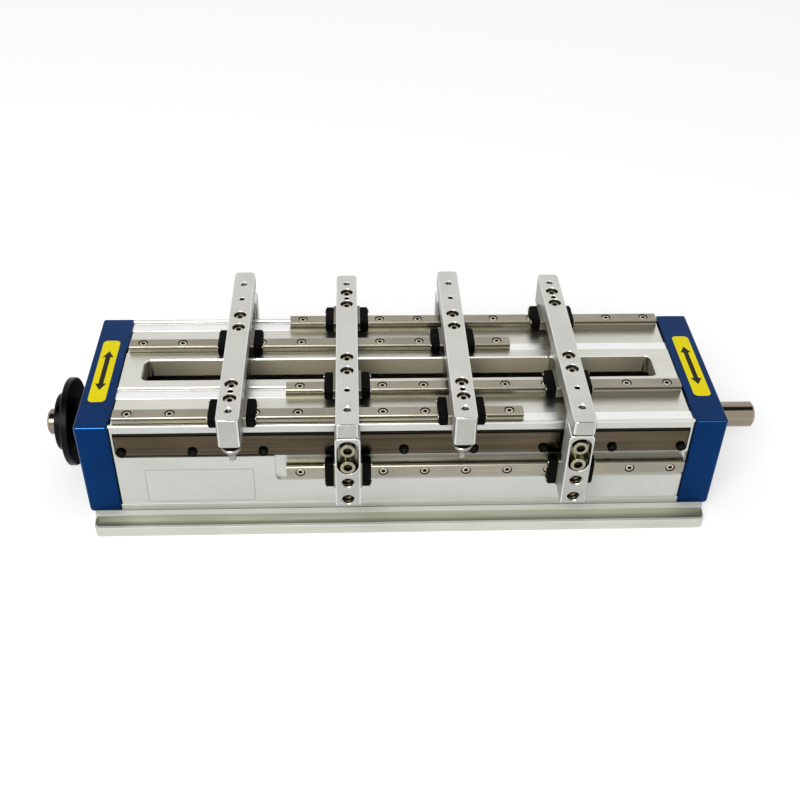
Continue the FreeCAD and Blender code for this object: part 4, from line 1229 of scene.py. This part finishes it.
@dataclass
class EndPlates:
    """Blue end plates with arrow labels, socket screws and shielded bearings."""

    top_z: float = 47.7
    bottom_z: float = 7.5
    bottom_corner: float = 2.0
    block_half: float = 40.0
    block_over: float = 10.0
    edge_drop: float = 1.0
    outer_x: float = 116.0
    label_x: float = 110.3
    label_size: tuple[float, float] = (6.4, 37.2)
    label_corner: float = 1.8
    ink_mm: float = 0.02
    arrow_half: float = 11.8
    arrow_head: tuple[float, float] = (3.8, 2.05)
    arrow_bar: float = 0.9
    screw_yz: tuple[tuple[float, float], ...] = ((26.0, 14.0), (-26.0, 14.0), (20.5, 41.0), (-20.5, 41.0))
    screw: SocketScrew = SocketScrew(
        head_r=3.5, head_h=4.0, shank_r=2.0, shank_l=15.8, key=3.0, socket=2.0, edge=0.45
    )
    screw_inset: float = 0.2
    bearing_inset: float = 0.5
    shield_rows: tuple[tuple[float, float], ...] = (
        (6.45, -0.38), (8.15, -0.38), (8.15, -0.12), (7.8, -0.02), (7.3, -0.10), (6.8, -0.02), (6.45, -0.12),
    )
    shield_points: int = 64

    def plate_block(self) -> Surface:
        """Bounds both plates, their outer bottom edges rounded: a rounded rectangle in x and z, run along y.

        Returns:
            The block, which stands clear of the plates' straight faces and above their tops.
        """
        low, high = self.bottom_z - BLOCK_CLEAR, self.top_z + self.block_over
        wide = 2 * (self.outer_x + BLOCK_CLEAR)
        outline = rounded_outline(wide, high - low, self.bottom_corner, BLOCK_POINTS)
        rings = np.stack([lifted(outline, -self.block_half), lifted(outline, self.block_half)])
        return loft(rings).placed(Facing.FRONT, [(0.0, 0.0, (low + high) / 2)])

    def arrow(self) -> Surface:
        """Double arrow: a bar and two triangles that meet it, in one plane.

        Returns:
            The arrow, lying in the label's top.
        """
        long, wide = self.arrow_head
        half, neck = self.arrow_bar, self.arrow_half - long
        low, high = FILM_MM - self.ink_mm, FILM_MM + self.ink_mm
        bar = prism(((-half, -neck), (half, -neck), (half, neck), (-half, neck)), low, high)
        up = prism(((-wide, neck), (wide, neck), (0.0, self.arrow_half)), low, high)
        down = prism(((wide, -neck), (-wide, -neck), (0.0, -self.arrow_half)), low, high)
        return Surface.joined([bar, up, down])

    def labels(self) -> None:
        """Builds the yellow labels with their printed arrows."""
        plain = film(*self.label_size, self.label_corner, FILM_MM)
        for side, x in (("left", -self.label_x), ("right", self.label_x)):
            at = [(x, 0.0, self.top_z)]
            make_piece(f"label_yellow_{side}", plain.placed(Facing.UP, at), YELLOW_FILM, "frame")
            make_piece(f"label_arrow_{side}", self.arrow().placed(Facing.UP, at), PRINT_INK, "frame")

    def screws(self) -> None:
        """Builds the eight plate screws, four to a side."""
        y, z = np.array(self.screw_yz).T
        top = self.outer_x - self.screw_inset
        rows = [(Facing.LEFT, spots(-top, y, z)), (Facing.RIGHT, spots(top, y, z))]
        self.screw.fit("plate_socket_screws", rows, BLACK_SCREW, "frame", "black_screw", "plate_screws")

    def shields(self) -> None:
        """Builds the pressed shields of the two bearings: a ring with a shallow round bead."""
        ring = revolved(np.array(self.shield_rows), self.shield_points, loop=True)
        top = self.outer_x - self.bearing_inset
        shields = [
            ring.placed(Facing.LEFT, [(-top, 0.0, DRIVE_AXIS_Z)]),
            ring.placed(Facing.RIGHT, [(top, 0.0, DRIVE_AXIS_Z)]),
        ]
        make_piece("bearing_shields", Surface.joined(shields), GROUND_STEEL, "frame")

    def build(self) -> None:
        """Dresses the nodes and adds labels, screws and shields."""
        block = self.plate_block()
        for side in ("left", "right"):
            plate = rounded_copy(f"plate_{side}", BLUE_ALUMINIUM, "frame", keep=block)
            across = np.abs(face_ways(plate)[:, 0]) < 1.0 - STRAIGHT
            high = face_middles(plate)[:, 2] > self.top_z - self.edge_drop
            # Top edges: lighter blue as a painted highlight.
            refinish(plate, slanted(plate) & across & high, BLUE_EDGE_HIGHLIGHT)
            rounded_copy(f"bearing_{side}", GROUND_STEEL, "frame")
        self.labels()
        self.screws()
        self.shields()


@dataclass
class GuideRails:
    """Six guide rails with a socket screw in each counterbore."""

    offset: float = 30.1
    holes: int = 10
    pitch: float = 15.0
    outer_y: float = 28.5
    inner_y: float = 13.5
    top_z: float = 50.3
    top_y: float = 35.6
    side_z: float = 27.8
    head_drop: float = 0.2
    bore_r: float = 1.8
    bore_depth: float = 1.6
    screw: SocketScrew = SocketScrew(
        head_r=1.42, head_h=1.4, shank_r=1.0, shank_l=5.5, key=1.3, socket=0.7, edge=0.16, segments=24
    )

    def mouths(self) -> dict[str, tuple[Facing, np.ndarray]]:
        """Finds the holes of every rail.

        Returns:
            The way that a rail looks and the middles of its holes' mouths, by the rail's node.
        """
        right = even_row(self.holes, self.pitch, self.offset)
        left = even_row(self.holes, self.pitch, -self.offset)
        return {
            "rail_1": (Facing.UP, spots(right, self.outer_y, self.top_z)),
            "rail_2": (Facing.UP, spots(left, self.inner_y, self.top_z)),
            "rail_3": (Facing.UP, spots(right, -self.inner_y, self.top_z)),
            "rail_4": (Facing.UP, spots(left, -self.outer_y, self.top_z)),
            "rail_5": (Facing.FRONT, spots(right, -self.top_y, self.side_z)),
            "rail_6": (Facing.REAR, spots(left, self.top_y, self.side_z)),
        }

    def build(self) -> None:
        """Dresses the rails with painted shade on their sides and in their counterbores, and replaces their
        screws.
        """
        rows = []
        wide, deep = self.bore_r + REACH_MM, self.bore_depth + REACH_MM
        for node, (facing, mouths) in self.mouths().items():
            rail = rounded_copy(node, GROUND_STEEL, "frame")
            # Rail sides: darker as painted shade.
            refinish(rail, np.abs(face_ways(rail) @ facing.way) < 1.0 - STRAIGHT, SHADED_RACEWAY_STEEL)
            # Counterbores: painted shade.
            refinish(rail, in_bores(rail, facing, mouths, wide, deep), SHADED_BORE_STEEL)
            rows.append((facing, mouths - self.head_drop * facing.way))
        self.screw.fit("rail_socket_screws", rows, NICKEL_SCREW, "frame", "screw_steel", "rail_screws")


@dataclass
class CoverStrips:
    """Cover strips along both long faces, each held by a row of black socket screws."""

    screws: int = 9
    pitch: float = 25.225
    head_y: float = 33.2
    screw_z: float = 35.4
    screw: SocketScrew = SocketScrew(
        head_r=1.75, head_h=1.0, shank_r=1.0, shank_l=5.0, key=1.3, socket=0.7, edge=0.35
    )

    def build(self) -> None:
        """Dresses the strips and replaces their screws."""
        for side in ("front", "rear"):
            rounded_copy(f"cover_{side}", ROLLED_STEEL, "frame")
        x = even_row(self.screws, self.pitch)
        rows = [
            (Facing.FRONT, spots(x, -self.head_y, self.screw_z)),
            (Facing.REAR, spots(x, self.head_y, self.screw_z)),
        ]
        self.screw.fit("cover_socket_screws", rows, BLACK_SCREW, "frame", "black_screw", "cover_screws")


@dataclass
class Drum:
    """Drive shaft, barrel cam, retaining ring, and the black disc with its grub screws."""

    shaft_x: tuple[float, float] = (-134.6, 139.0)
    shaft_r: float = 5.0
    shaft_chamfer: float = 0.8
    ring_x: tuple[float, float] = (116.7, 117.7)
    ring_r: float = 4.6
    shaft_points: int = 96
    centre_r: float = 1.1
    centre_tip: float = 0.1
    centre_depth: float = 1.7
    hub_r: float = 10.9
    grub_x: float = -128.65
    grub_inset: float = 0.8
    grub_deg: tuple[float, float] = (65.0, 155.0)
    grub: SocketScrew = SocketScrew(
        head_r=1.23, head_h=1.0, shank_r=1.23, shank_l=4.0, key=1.3, socket=1.1, edge=0.12, segments=36
    )

    def shaft(self) -> None:
        """Builds the shaft: its radius against its length, from one drilled centre to the other."""
        low, high = self.shaft_x
        radius, edge = self.shaft_r, self.shaft_chamfer
        rows = np.array(
            [
                (self.centre_tip, low + self.centre_depth),
                (self.centre_r, low),
                (radius - edge, low),
                (radius, low + edge),
                (radius, self.ring_x[0]),
                (self.ring_r, self.ring_x[0]),
                (self.ring_r, self.ring_x[1]),
                (radius, self.ring_x[1]),
                (radius, high - edge),
                (radius - edge, high),
                (self.centre_r, high),
                (self.centre_tip, high - self.centre_depth),
            ]
        )
        # The shaft's darker, warm tone is painted reflection.
        surface = revolved(rows, self.shaft_points).placed(Facing.RIGHT, [(0.0, 0.0, DRIVE_AXIS_Z)])
        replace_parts(make_piece("shaft_ground", surface, SHAFT_STEEL_REFLECTION, "drum"), "shaft")

    def grubs(self) -> None:
        """Builds the two grub screws, each looking out of the hub at its angle up from the front."""
        parts = []
        for angle in np.radians(self.grub_deg):
            way = np.array([0.0, -np.cos(angle), np.sin(angle)])
            turn = np.stack([(1.0, 0.0, 0.0), np.cross(way, (1.0, 0.0, 0.0)), way], axis=-1)
            place = np.array([[self.grub_x, 0.0, DRIVE_AXIS_Z]]) + way * (self.hub_r - self.grub_inset)
            parts.append(self.grub.surface().repeated(turn[None], place))
        piece = make_piece("hub_grub_screws", Surface.joined(parts), BLACK_SCREW, "drum")
        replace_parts(piece, "grub_screws")

    def build(self) -> None:
        """Builds the shaft and grub screws and finishes the other nodes."""
        self.shaft()
        # The ring's darker, warm tone is painted reflection.
        rounded_copy("retaining_ring", SHAFT_STEEL_REFLECTION, "drum")
        rounded_copy("cam_drum", CAM_STEEL, "drum")
        disc = rounded_copy("disc", BLACK_ALUMINIUM, "drum")
        refinish(disc, np.abs(face_ways(disc)[:, 0]) > STRAIGHT, DULL_BLACK_ALUMINIUM)
        self.grubs()


@dataclass
class Slider:
    """One slider: arm, leg, three carriages with seals, follower and hose fitting.

    Sizes are for a slider in the middle with its leg at the front; a rear leg is the same turned half round.
    """

    number: int
    middle_number: float = 2.5
    pitch: float = 40.4
    arm_top: float = 60.2
    seat_z: float = 46.7
    outer_y: float = 28.5
    inner_y: float = 13.5
    side_y: float = 32.0
    side_z: float = 27.8
    bolt: float = 8.0
    arm_head_drop: float = 1.0
    leg_front: float = -46.0
    leg_top: float = 52.3
    leg_top_reach: float = 0.2
    leg_head_drop: float = 2.5
    bore_r: float = 2.2
    arm_bore_depth: float = 3.0
    leg_bore_depth: float = 4.5
    leg_rim: float = 0.15
    leg_rim_drop: float = 0.25
    pocket_z: tuple[float, float] = (39.85, 47.45)
    pocket_points: int = 9
    pocket_r: float = 3.6
    pocket_reach: float = 0.06
    pocket_depth: float = 3.2
    pocket_screw_z: tuple[float, float] = (39.05, 46.65)
    pocket_head_drop: float = 0.2
    tool_y: float = 39.0
    tool_r: float = 1.65
    tool_depth: float = 4.6
    tool_rim: float = 0.5
    tool_pitch: float = 0.5
    tool_rise: float = 0.2
    dowel_r: float = 1.25
    dowel_depth: float = 4.0
    dowel_rim: float = 0.3
    block_edge: float = 0.15
    cap_edge: float = 0.25
    follower_edge: float = 0.2
    roller_edge: float = 0.15
    cap_x: float = 8.0
    cap_screw_yz: tuple[float, float] = (4.25, 4.35)
    small: SocketScrew = SocketScrew(
        head_r=1.9, head_h=2.0, shank_r=1.0, shank_l=5.5, key=1.6, socket=1.0, edge=0.2
    )
    large: SocketScrew = SocketScrew(
        head_r=2.75, head_h=3.0, shank_r=1.5, shank_l=7.4, key=2.6, socket=1.5, edge=0.3
    )
    cap_screw: SocketScrew = SocketScrew(
        head_r=0.62, head_h=0.35, shank_r=0.35, shank_l=0.6, key=0.5, socket=0.2, edge=0.1, segments=18
    )
    fitting_rows: tuple[tuple[float, float], ...] = (
        (0.6, 39.5), (0.6, 37.9), (1.1, 37.9), (1.25, 38.05), (1.25, 40.8), (1.9, 41.0), (3.5, 43.2),
        (3.7, 43.6), (3.7, 44.1), (3.45, 44.4), (2.0, 44.4), (2.0, 47.9), (0.2, 47.9),
    )
    flange_top: float = 44.4
    seal_mm: float = 0.3
    seal_inner: tuple[tuple[float, float], ...] = (
        (-2.75, 1.9), (-2.75, 3.0), (-2.75, 3.85), (2.75, 3.85), (2.75, 3.0), (2.75, 1.9),
    )
    seal_outer: tuple[tuple[float, float], ...] = (
        (-5.3, 1.9), (-5.3, 4.5), (-4.5, 5.35), (4.5, 5.35), (5.3, 4.5), (5.3, 1.9),
    )

    @property
    def body(self) -> str:
        """Name of the body that carries this slider's pieces."""
        return f"slider_{self.number}"

    @property
    def leg_facing(self) -> Facing:
        """Way that the leg's face looks."""
        return Facing.REAR if self.number % 2 else Facing.FRONT

    @property
    def turn(self) -> np.ndarray:
        """Half a turn about z for a rear leg, and none for a front leg."""
        return HALF_TURN if self.number % 2 else np.eye(3)

    @property
    def shift(self) -> np.ndarray:
        """This slider's place along the module."""
        return np.array([(self.number - self.middle_number) * self.pitch, 0.0, 0.0])

    def home(self, surface: Surface) -> Surface:
        """Turns a surface half round for a rear leg and moves it to this slider's place."""
        return surface.repeated(self.turn[None], self.shift[None])

    def at_home(self, x: Any, y: Any, z: Any) -> np.ndarray:
        """Points from coordinates that are numbers or equal rows, turned and moved as the slider is."""
        return spots(x, y, z) @ self.turn.T + self.shift

    def on_carriages(self, surface: Surface) -> Surface:
        """Copies a surface that lies on a rail at z = 0 to the three carriages.

        Args:
            surface: the surface, with its rail along x.

        Returns:
            The three copies: two upright ones and one tipped to the side rail.
        """
        tipped = np.array([[1.0, 0.0, 0.0], [0.0, 0.0, -1.0], [0.0, 1.0, 0.0]])
        y = np.array([self.outer_y, -self.inner_y, -self.side_y])
        z = np.array([self.seat_z, self.seat_z, self.side_z])
        return surface.repeated(np.stack([np.eye(3), np.eye(3), tipped]), spots(0.0, y, z))

    def arm_holes(self, height: float) -> np.ndarray:
        """Middles of the arm's four screw holes at a height."""
        y = np.add.outer([self.outer_y, -self.inner_y], [-self.bolt / 2, self.bolt / 2]).ravel()
        return self.at_home(0.0, y, height)

    def leg_holes(self, depth: float) -> np.ndarray:
        """Middles of the leg's two lower screw holes at a depth behind its face."""
        z = self.side_z + np.array([-self.bolt / 2, self.bolt / 2])
        return self.at_home(0.0, self.leg_front + depth, z)

    def screws(self) -> None:
        """Builds the arm's and the leg's small screws, and the two larger ones in the leg's pocket."""
        rows = [
            (Facing.UP, self.arm_holes(self.arm_top - self.arm_head_drop)),
            (self.leg_facing, self.leg_holes(self.leg_head_drop)),
        ]
        name, node = f"carriage_socket_screws_{self.number}", f"small_screws_{self.number}"
        self.small.fit(name, rows, NICKEL_SCREW, self.body, "screw_steel", node)
        places = self.at_home(0.0, self.leg_front + self.pocket_head_drop, np.array(self.pocket_screw_z))
        name, node = f"leg_socket_screws_{self.number}", f"leg_screws_{self.number}"
        # Pocket screws: darker as painted shade.
        self.large.fit(name, [(self.leg_facing, places)], SHADED_YELLOW_SCREW, self.body, "screw_steel", node)

    def arm(self) -> None:
        """Finishes the arm, with painted shade on its upright faces and in its holes, and builds the bright
        rims of the arm's and leg's holes.
        """
        piece = rounded_copy(f"arm_{self.number}", BLASTED_ALUMINIUM, self.body)
        screws = self.arm_holes(self.arm_top)
        wide, deep = self.bore_r + REACH_MM, self.arm_bore_depth + REACH_MM
        bores = in_bores(piece, Facing.UP, screws, wide, deep)
        tool = self.at_home(0.0, np.array([-self.tool_y, self.tool_y]), self.arm_top)
        wide, deep = self.tool_r + REACH_MM, self.tool_depth + REACH_MM
        holes = in_bores(piece, Facing.UP, tool, wide, deep)
        pins = self.at_home(0.0, np.array([-self.outer_y, self.outer_y]), self.arm_top)
        wide, deep = self.dowel_r + REACH_MM, self.dowel_depth + REACH_MM
        dowels = in_bores(piece, Facing.UP, pins, wide, deep)
        # Upright faces: greyer as painted shade.
        refinish(piece, upright(piece), SHADED_BLASTED_ALUMINIUM)
        refinish(piece, slanted(piece), RIM_ALUMINIUM)
        # Holes: painted shade.
        refinish(piece, bores | holes, SHADED_DRILLED_ALUMINIUM)
        # Dowel holes: painted shade.
        refinish(piece, dowels, SHADED_BORE_STEEL)
        leg_ring = rim_ring(self.bore_r, self.bore_r - self.leg_rim, -self.leg_rim_drop)
        rims = Surface.joined(
            [
                rim_ring(self.tool_r, self.tool_r - self.tool_rim).placed(Facing.UP, tool),
                rim_ring(self.dowel_r, self.dowel_r - self.dowel_rim).placed(Facing.UP, pins),
                leg_ring.placed(self.leg_facing, self.leg_holes(0.0)),
            ]
        )
        make_piece(f"hole_rims_{self.number}", rims, RIM_ALUMINIUM, self.body)

    def leg(self) -> None:
        """Finishes the leg: bright chamfers, painted shade on its upright faces, in its holes and in its
        pocket, and painted shadow on its top under the arm.
        """
        piece = rounded_copy(f"leg_{self.number}", BLASTED_ALUMINIUM, self.body)
        wide, deep = self.bore_r + REACH_MM, self.leg_bore_depth + REACH_MM
        bores = in_bores(piece, self.leg_facing, self.leg_holes(0.0), wide, deep)
        row = self.at_home(0.0, self.leg_front, np.linspace(*self.pocket_z, self.pocket_points))
        wide, deep = self.pocket_r + self.pocket_reach, self.pocket_depth + REACH_MM
        pocket = in_bores(piece, self.leg_facing, row, wide, deep)
        top = face_middles(piece)[:, 2] > self.leg_top - self.leg_top_reach
        # Upright faces: greyer as painted shade.
        refinish(piece, upright(piece), SHADED_BLASTED_ALUMINIUM)
        refinish(piece, slanted(piece), RIM_ALUMINIUM)
        # The pocket: greyer as painted shade.
        refinish(piece, pocket, SHADED_POCKET_ALUMINIUM)
        # Holes: painted shade.
        refinish(piece, bores, SHADED_DRILLED_ALUMINIUM)
        # Painted shadow on the leg's top under the arm.
        refinish(piece, (face_ways(piece)[:, 2] > STRAIGHT) & top, GAP_SHADE)

    def seals(self) -> None:
        """Builds the end seals and cap screws of the carriages.

        A seal is a flat band carried along the U round the rail: each station has an inner and an outer
        point, given the seal's thickness along the rail.
        """
        inner, outer = np.array(self.seal_inner), np.array(self.seal_outer)
        x0, x1 = self.cap_x, self.cap_x + self.seal_mm
        edges = ((x0, inner), (x0, outer), (x1, outer), (x1, inner))
        stations = [np.column_stack([np.full(len(line), x), line]) for x, line in edges]
        right = loft(np.stack(stations, axis=1))
        both = right.repeated(np.stack([np.eye(3), HALF_TURN]), np.zeros((2, 3)))
        seals = self.home(self.on_carriages(both))
        make_piece(f"carriage_seals_{self.number}", seals, SEAL_RUBBER, self.body)
        y, z = self.cap_screw_yz
        reach = x1 + self.cap_screw.head_h
        ends = Surface.joined(
            [
                self.cap_screw.set_in(Facing.RIGHT, [(reach, y, z), (reach, -y, z)], CAP_SEED),
                self.cap_screw.set_in(Facing.LEFT, [(-reach, y, z), (-reach, -y, z)], CAP_SEED + 1),
            ]
        )
        screws = self.home(self.on_carriages(ends))
        make_piece(f"carriage_cap_screws_{self.number}", screws, NICKEL_SCREW, self.body)

    def threads(self) -> None:
        """Builds the threads in the arm's two tool holes."""
        sleeve = thread_sleeve(self.tool_r, self.tool_depth, self.tool_pitch, self.tool_rise)
        places = spots(0.0, np.array([-self.tool_y, self.tool_y]), self.arm_top)
        both = self.home(sleeve.placed(Facing.UP, places))
        # Threads: dark as painted shade.
        make_piece(f"arm_threads_{self.number}", both, SHADED_TAPPED_ALUMINIUM, self.body)

    def fitting(self) -> None:
        """Builds the hose fitting: its profile turned about the tool hole's axis, with painted shadow over
        its flange.
        """
        turned = revolved(np.array(self.fitting_rows), ROUND_POINTS)
        fitting = self.home(turned.placed(Facing.UP, [(0.0, self.tool_y, 0.0)]))
        name = f"hose_fitting_{self.number}"
        piece = make_piece(name, fitting, PLATED_BRASS, self.body)
        # Painted shadow on the flange's top.
        refinish(piece, face_middles(piece)[:, 2] > self.flange_top - REACH_MM, GAP_SHADE)
        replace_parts(piece, f"fitting_{self.number}")

    def build(self) -> None:
        """Finishes this slider's nodes and adds its screws, seals, threads and fitting."""
        n = self.number
        self.arm()
        self.leg()
        # Carriage blocks: the darker tone is painted shade.
        rounded_copy(f"blocks_{n}", SHADED_BLOCK_STEEL, self.body, self.block_edge)
        rounded_copy(f"caps_{n}", MOULDED_PLASTIC, self.body, self.cap_edge)
        rounded_copy(f"follower_{n}", TOOL_STEEL, self.body, self.follower_edge)
        rounded_copy(f"roller_{n}", TOOL_STEEL, self.body, self.roller_edge)
        self.fitting()
        self.screws()
        self.seals()
        self.threads()


# ---- studio


@dataclass(frozen=True)
class SoftBox:
    """One rectangular studio lamp, in metres and watts."""

    name: str
    place: tuple[float, float, float]
    width: float
    height: float
    watts: float

    def build(self, aim: Vector) -> None:
        """Makes the lamp and points it at the module.

        Args:
            aim: the point that it looks at, in metres.
        """
        lamp = bpy.data.lights.new(self.name, "AREA")
        lamp.shape = "RECTANGLE"
        lamp.size, lamp.size_y, lamp.energy = self.width, self.height, self.watts
        holder = bpy.data.objects.new(self.name, lamp)
        holder.location = self.place
        holder.rotation_euler = (aim - Vector(self.place)).to_track_quat("-Z", "Y").to_euler()
        bpy.context.scene.collection.objects.link(holder)
        LOG.info("lamp %s: %.1f W", self.name, self.watts)


@dataclass
class Studio:
    """White floor, soft lamps, white surroundings and the camera at the photograph's place."""

    floor_half: float = 8.0
    ambient: float = 0.55
    floor_lift: float = 0.3
    far_lift: float = 0.55
    floor_fade: tuple[float, float] = (0.6, 1.8)
    wall_top: float = 0.85
    ceiling_from: float = 0.92
    ceiling_level: float = 0.03
    aim: tuple[float, float, float] = (0.0, 0.0, 0.03)
    paper: str = "#f7f7f7"
    paper_rough: float = 0.9
    lamps: tuple[SoftBox, ...] = (
        SoftBox("key_softbox", place=(-0.35, -1.0, 0.98), width=0.9, height=0.6, watts=10.0),
    )
    camera_mm: tuple[float, float, float] = (-18.28, -328.13, 299.25)
    pitch_deg: float = 39.113
    yaw_deg: float = 3.177
    roll_deg: float = 1.419
    focal_px: float = 1100.33
    frame_px: float = 800.0
    sensor_mm: float = 36.0
    clip_m: tuple[float, float] = (0.01, 50.0)

    @staticmethod
    def seen_rays(tree: bpy.types.NodeTree) -> bpy.types.NodeSocket:
        """Tells rays that show the floor or the world from rays that only light the module.

        Args:
            tree: the floor's or the world's node tree.

        Returns:
            1 for rays that see straight, by reflection or through glass, and 0 for light.
        """
        path = add_node(tree, "ShaderNodeLightPath").outputs
        direct = {0: path["Is Camera Ray"], 1: path["Is Glossy Ray"]}
        straight = add_node(tree, "ShaderNodeMath", direct, operation="ADD")
        through = {0: straight.outputs[0], 1: path["Is Transmission Ray"]}
        return add_node(tree, "ShaderNodeMath", through, operation="ADD", use_clamp=True).outputs[0]

    def floor(self) -> None:
        """Makes the white floor as a wide flat sheet, lifted to white where it is seen, more so far out."""
        half = self.floor_half
        mesh = bpy.data.meshes.new("floor")
        square = [(-half, -half, 0), (half, -half, 0), (half, half, 0), (-half, half, 0)]
        mesh.from_pydata(square, [], [(0, 1, 2, 3)])
        material = bpy.data.materials.new("paper_backdrop_white")
        material.use_nodes = True
        tree = material.node_tree
        tree.nodes.clear()
        place = add_node(tree, "ShaderNodeTexCoord").outputs["Object"]
        reach = add_node(tree, "ShaderNodeVectorMath", {0: place}, operation="LENGTH").outputs["Value"]
        near, far = self.floor_fade
        white = {0: reach, 1: near, 2: far, 3: self.floor_lift, 4: self.far_lift}
        rise = add_node(tree, "ShaderNodeMapRange", white, interpolation_type="SMOOTHSTEP").outputs[0]
        lift = add_node(tree, "ShaderNodeMath", {0: self.seen_rays(tree), 1: rise}, operation="MULTIPLY")
        paper = {
            "Base Color": linear(self.paper),
            "Roughness": self.paper_rough,
            "Specular IOR Level": 0.0,
            "Emission Color": WHITE,
            "Emission Strength": lift.outputs[0],
        }
        shader = add_node(tree, "ShaderNodeBsdfPrincipled", paper)
        add_node(tree, "ShaderNodeOutputMaterial", {"Surface": shader.outputs[0]})
        mesh.materials.append(material)
        sheet = bpy.data.objects.new("floor", mesh)
        bpy.context.scene.collection.objects.link(sheet)

    def surroundings(self) -> None:
        """Makes the world: white walls and a dark ceiling where it is seen, and a plain level as light."""
        world = bpy.data.worlds.new("studio_white")
        bpy.context.scene.world = world
        world.use_nodes = True
        tree = world.node_tree
        tree.nodes.clear()
        way = add_node(tree, "ShaderNodeTexCoord").outputs["Generated"]
        height = add_node(tree, "ShaderNodeSeparateXYZ", {0: way}).outputs[2]
        fade = {0: height, 1: self.wall_top, 2: self.ceiling_from, 3: 1.0, 4: self.ceiling_level}
        room = add_node(tree, "ShaderNodeMapRange", fade, interpolation_type="SMOOTHSTEP").outputs[0]
        seen = {0: self.seen_rays(tree), 2: self.ambient, 3: room}
        level = add_node(tree, "ShaderNodeMix", seen, data_type="FLOAT")
        sky = add_node(tree, "ShaderNodeBackground", {"Color": WHITE, "Strength": level.outputs[0]})
        add_node(tree, "ShaderNodeOutputWorld", {"Surface": sky.outputs[0]})

    def camera(self) -> None:
        """Makes the camera from its place, its pitch, yaw and roll, and its focal length in pixels."""
        pitch, yaw, roll = (math.radians(a) for a in (self.pitch_deg, self.yaw_deg, self.roll_deg))
        flat = math.cos(pitch)
        ahead = Vector((math.sin(yaw) * flat, math.cos(yaw) * flat, -math.sin(pitch)))
        level = Vector((math.cos(yaw), -math.sin(yaw), 0.0))
        above = level.cross(ahead)
        right = math.cos(roll) * level + math.sin(roll) * above
        up = -math.sin(roll) * level + math.cos(roll) * above
        lens = bpy.data.cameras.new("camera")
        lens.sensor_width = self.sensor_mm
        lens.lens = self.focal_px / self.frame_px * self.sensor_mm
        lens.clip_start, lens.clip_end = self.clip_m
        holder = bpy.data.objects.new("camera", lens)
        turned = Matrix((right, up, -ahead)).transposed().to_4x4()
        holder.matrix_world = Matrix.Translation(Vector(self.camera_mm) * MM) @ turned
        bpy.context.scene.collection.objects.link(holder)
        bpy.context.scene.camera = holder

    def build(self) -> None:
        """Sets up floor, lamps, world, camera and the plain view transform."""
        self.floor()
        for lamp in self.lamps:
            lamp.build(Vector(self.aim))
        self.surroundings()
        self.camera()
        bpy.context.scene.view_settings.view_transform = "Standard"


def main() -> None:
    """Builds the sub-assemblies in order, then the studio."""
    logging.basicConfig(level=logging.INFO, format="%(name)s: %(message)s")
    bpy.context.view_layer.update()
    assemblies = [Plinth(), EndPlates(), GuideRails(), CoverStrips(), Drum()]
    assemblies += [Slider(number) for number in range(1, 5)]
    for assembly in assemblies:
        LOG.info("building %s", type(assembly).__name__)
        assembly.build()
    Studio().build()


if __name__ == "__main__":
    main()
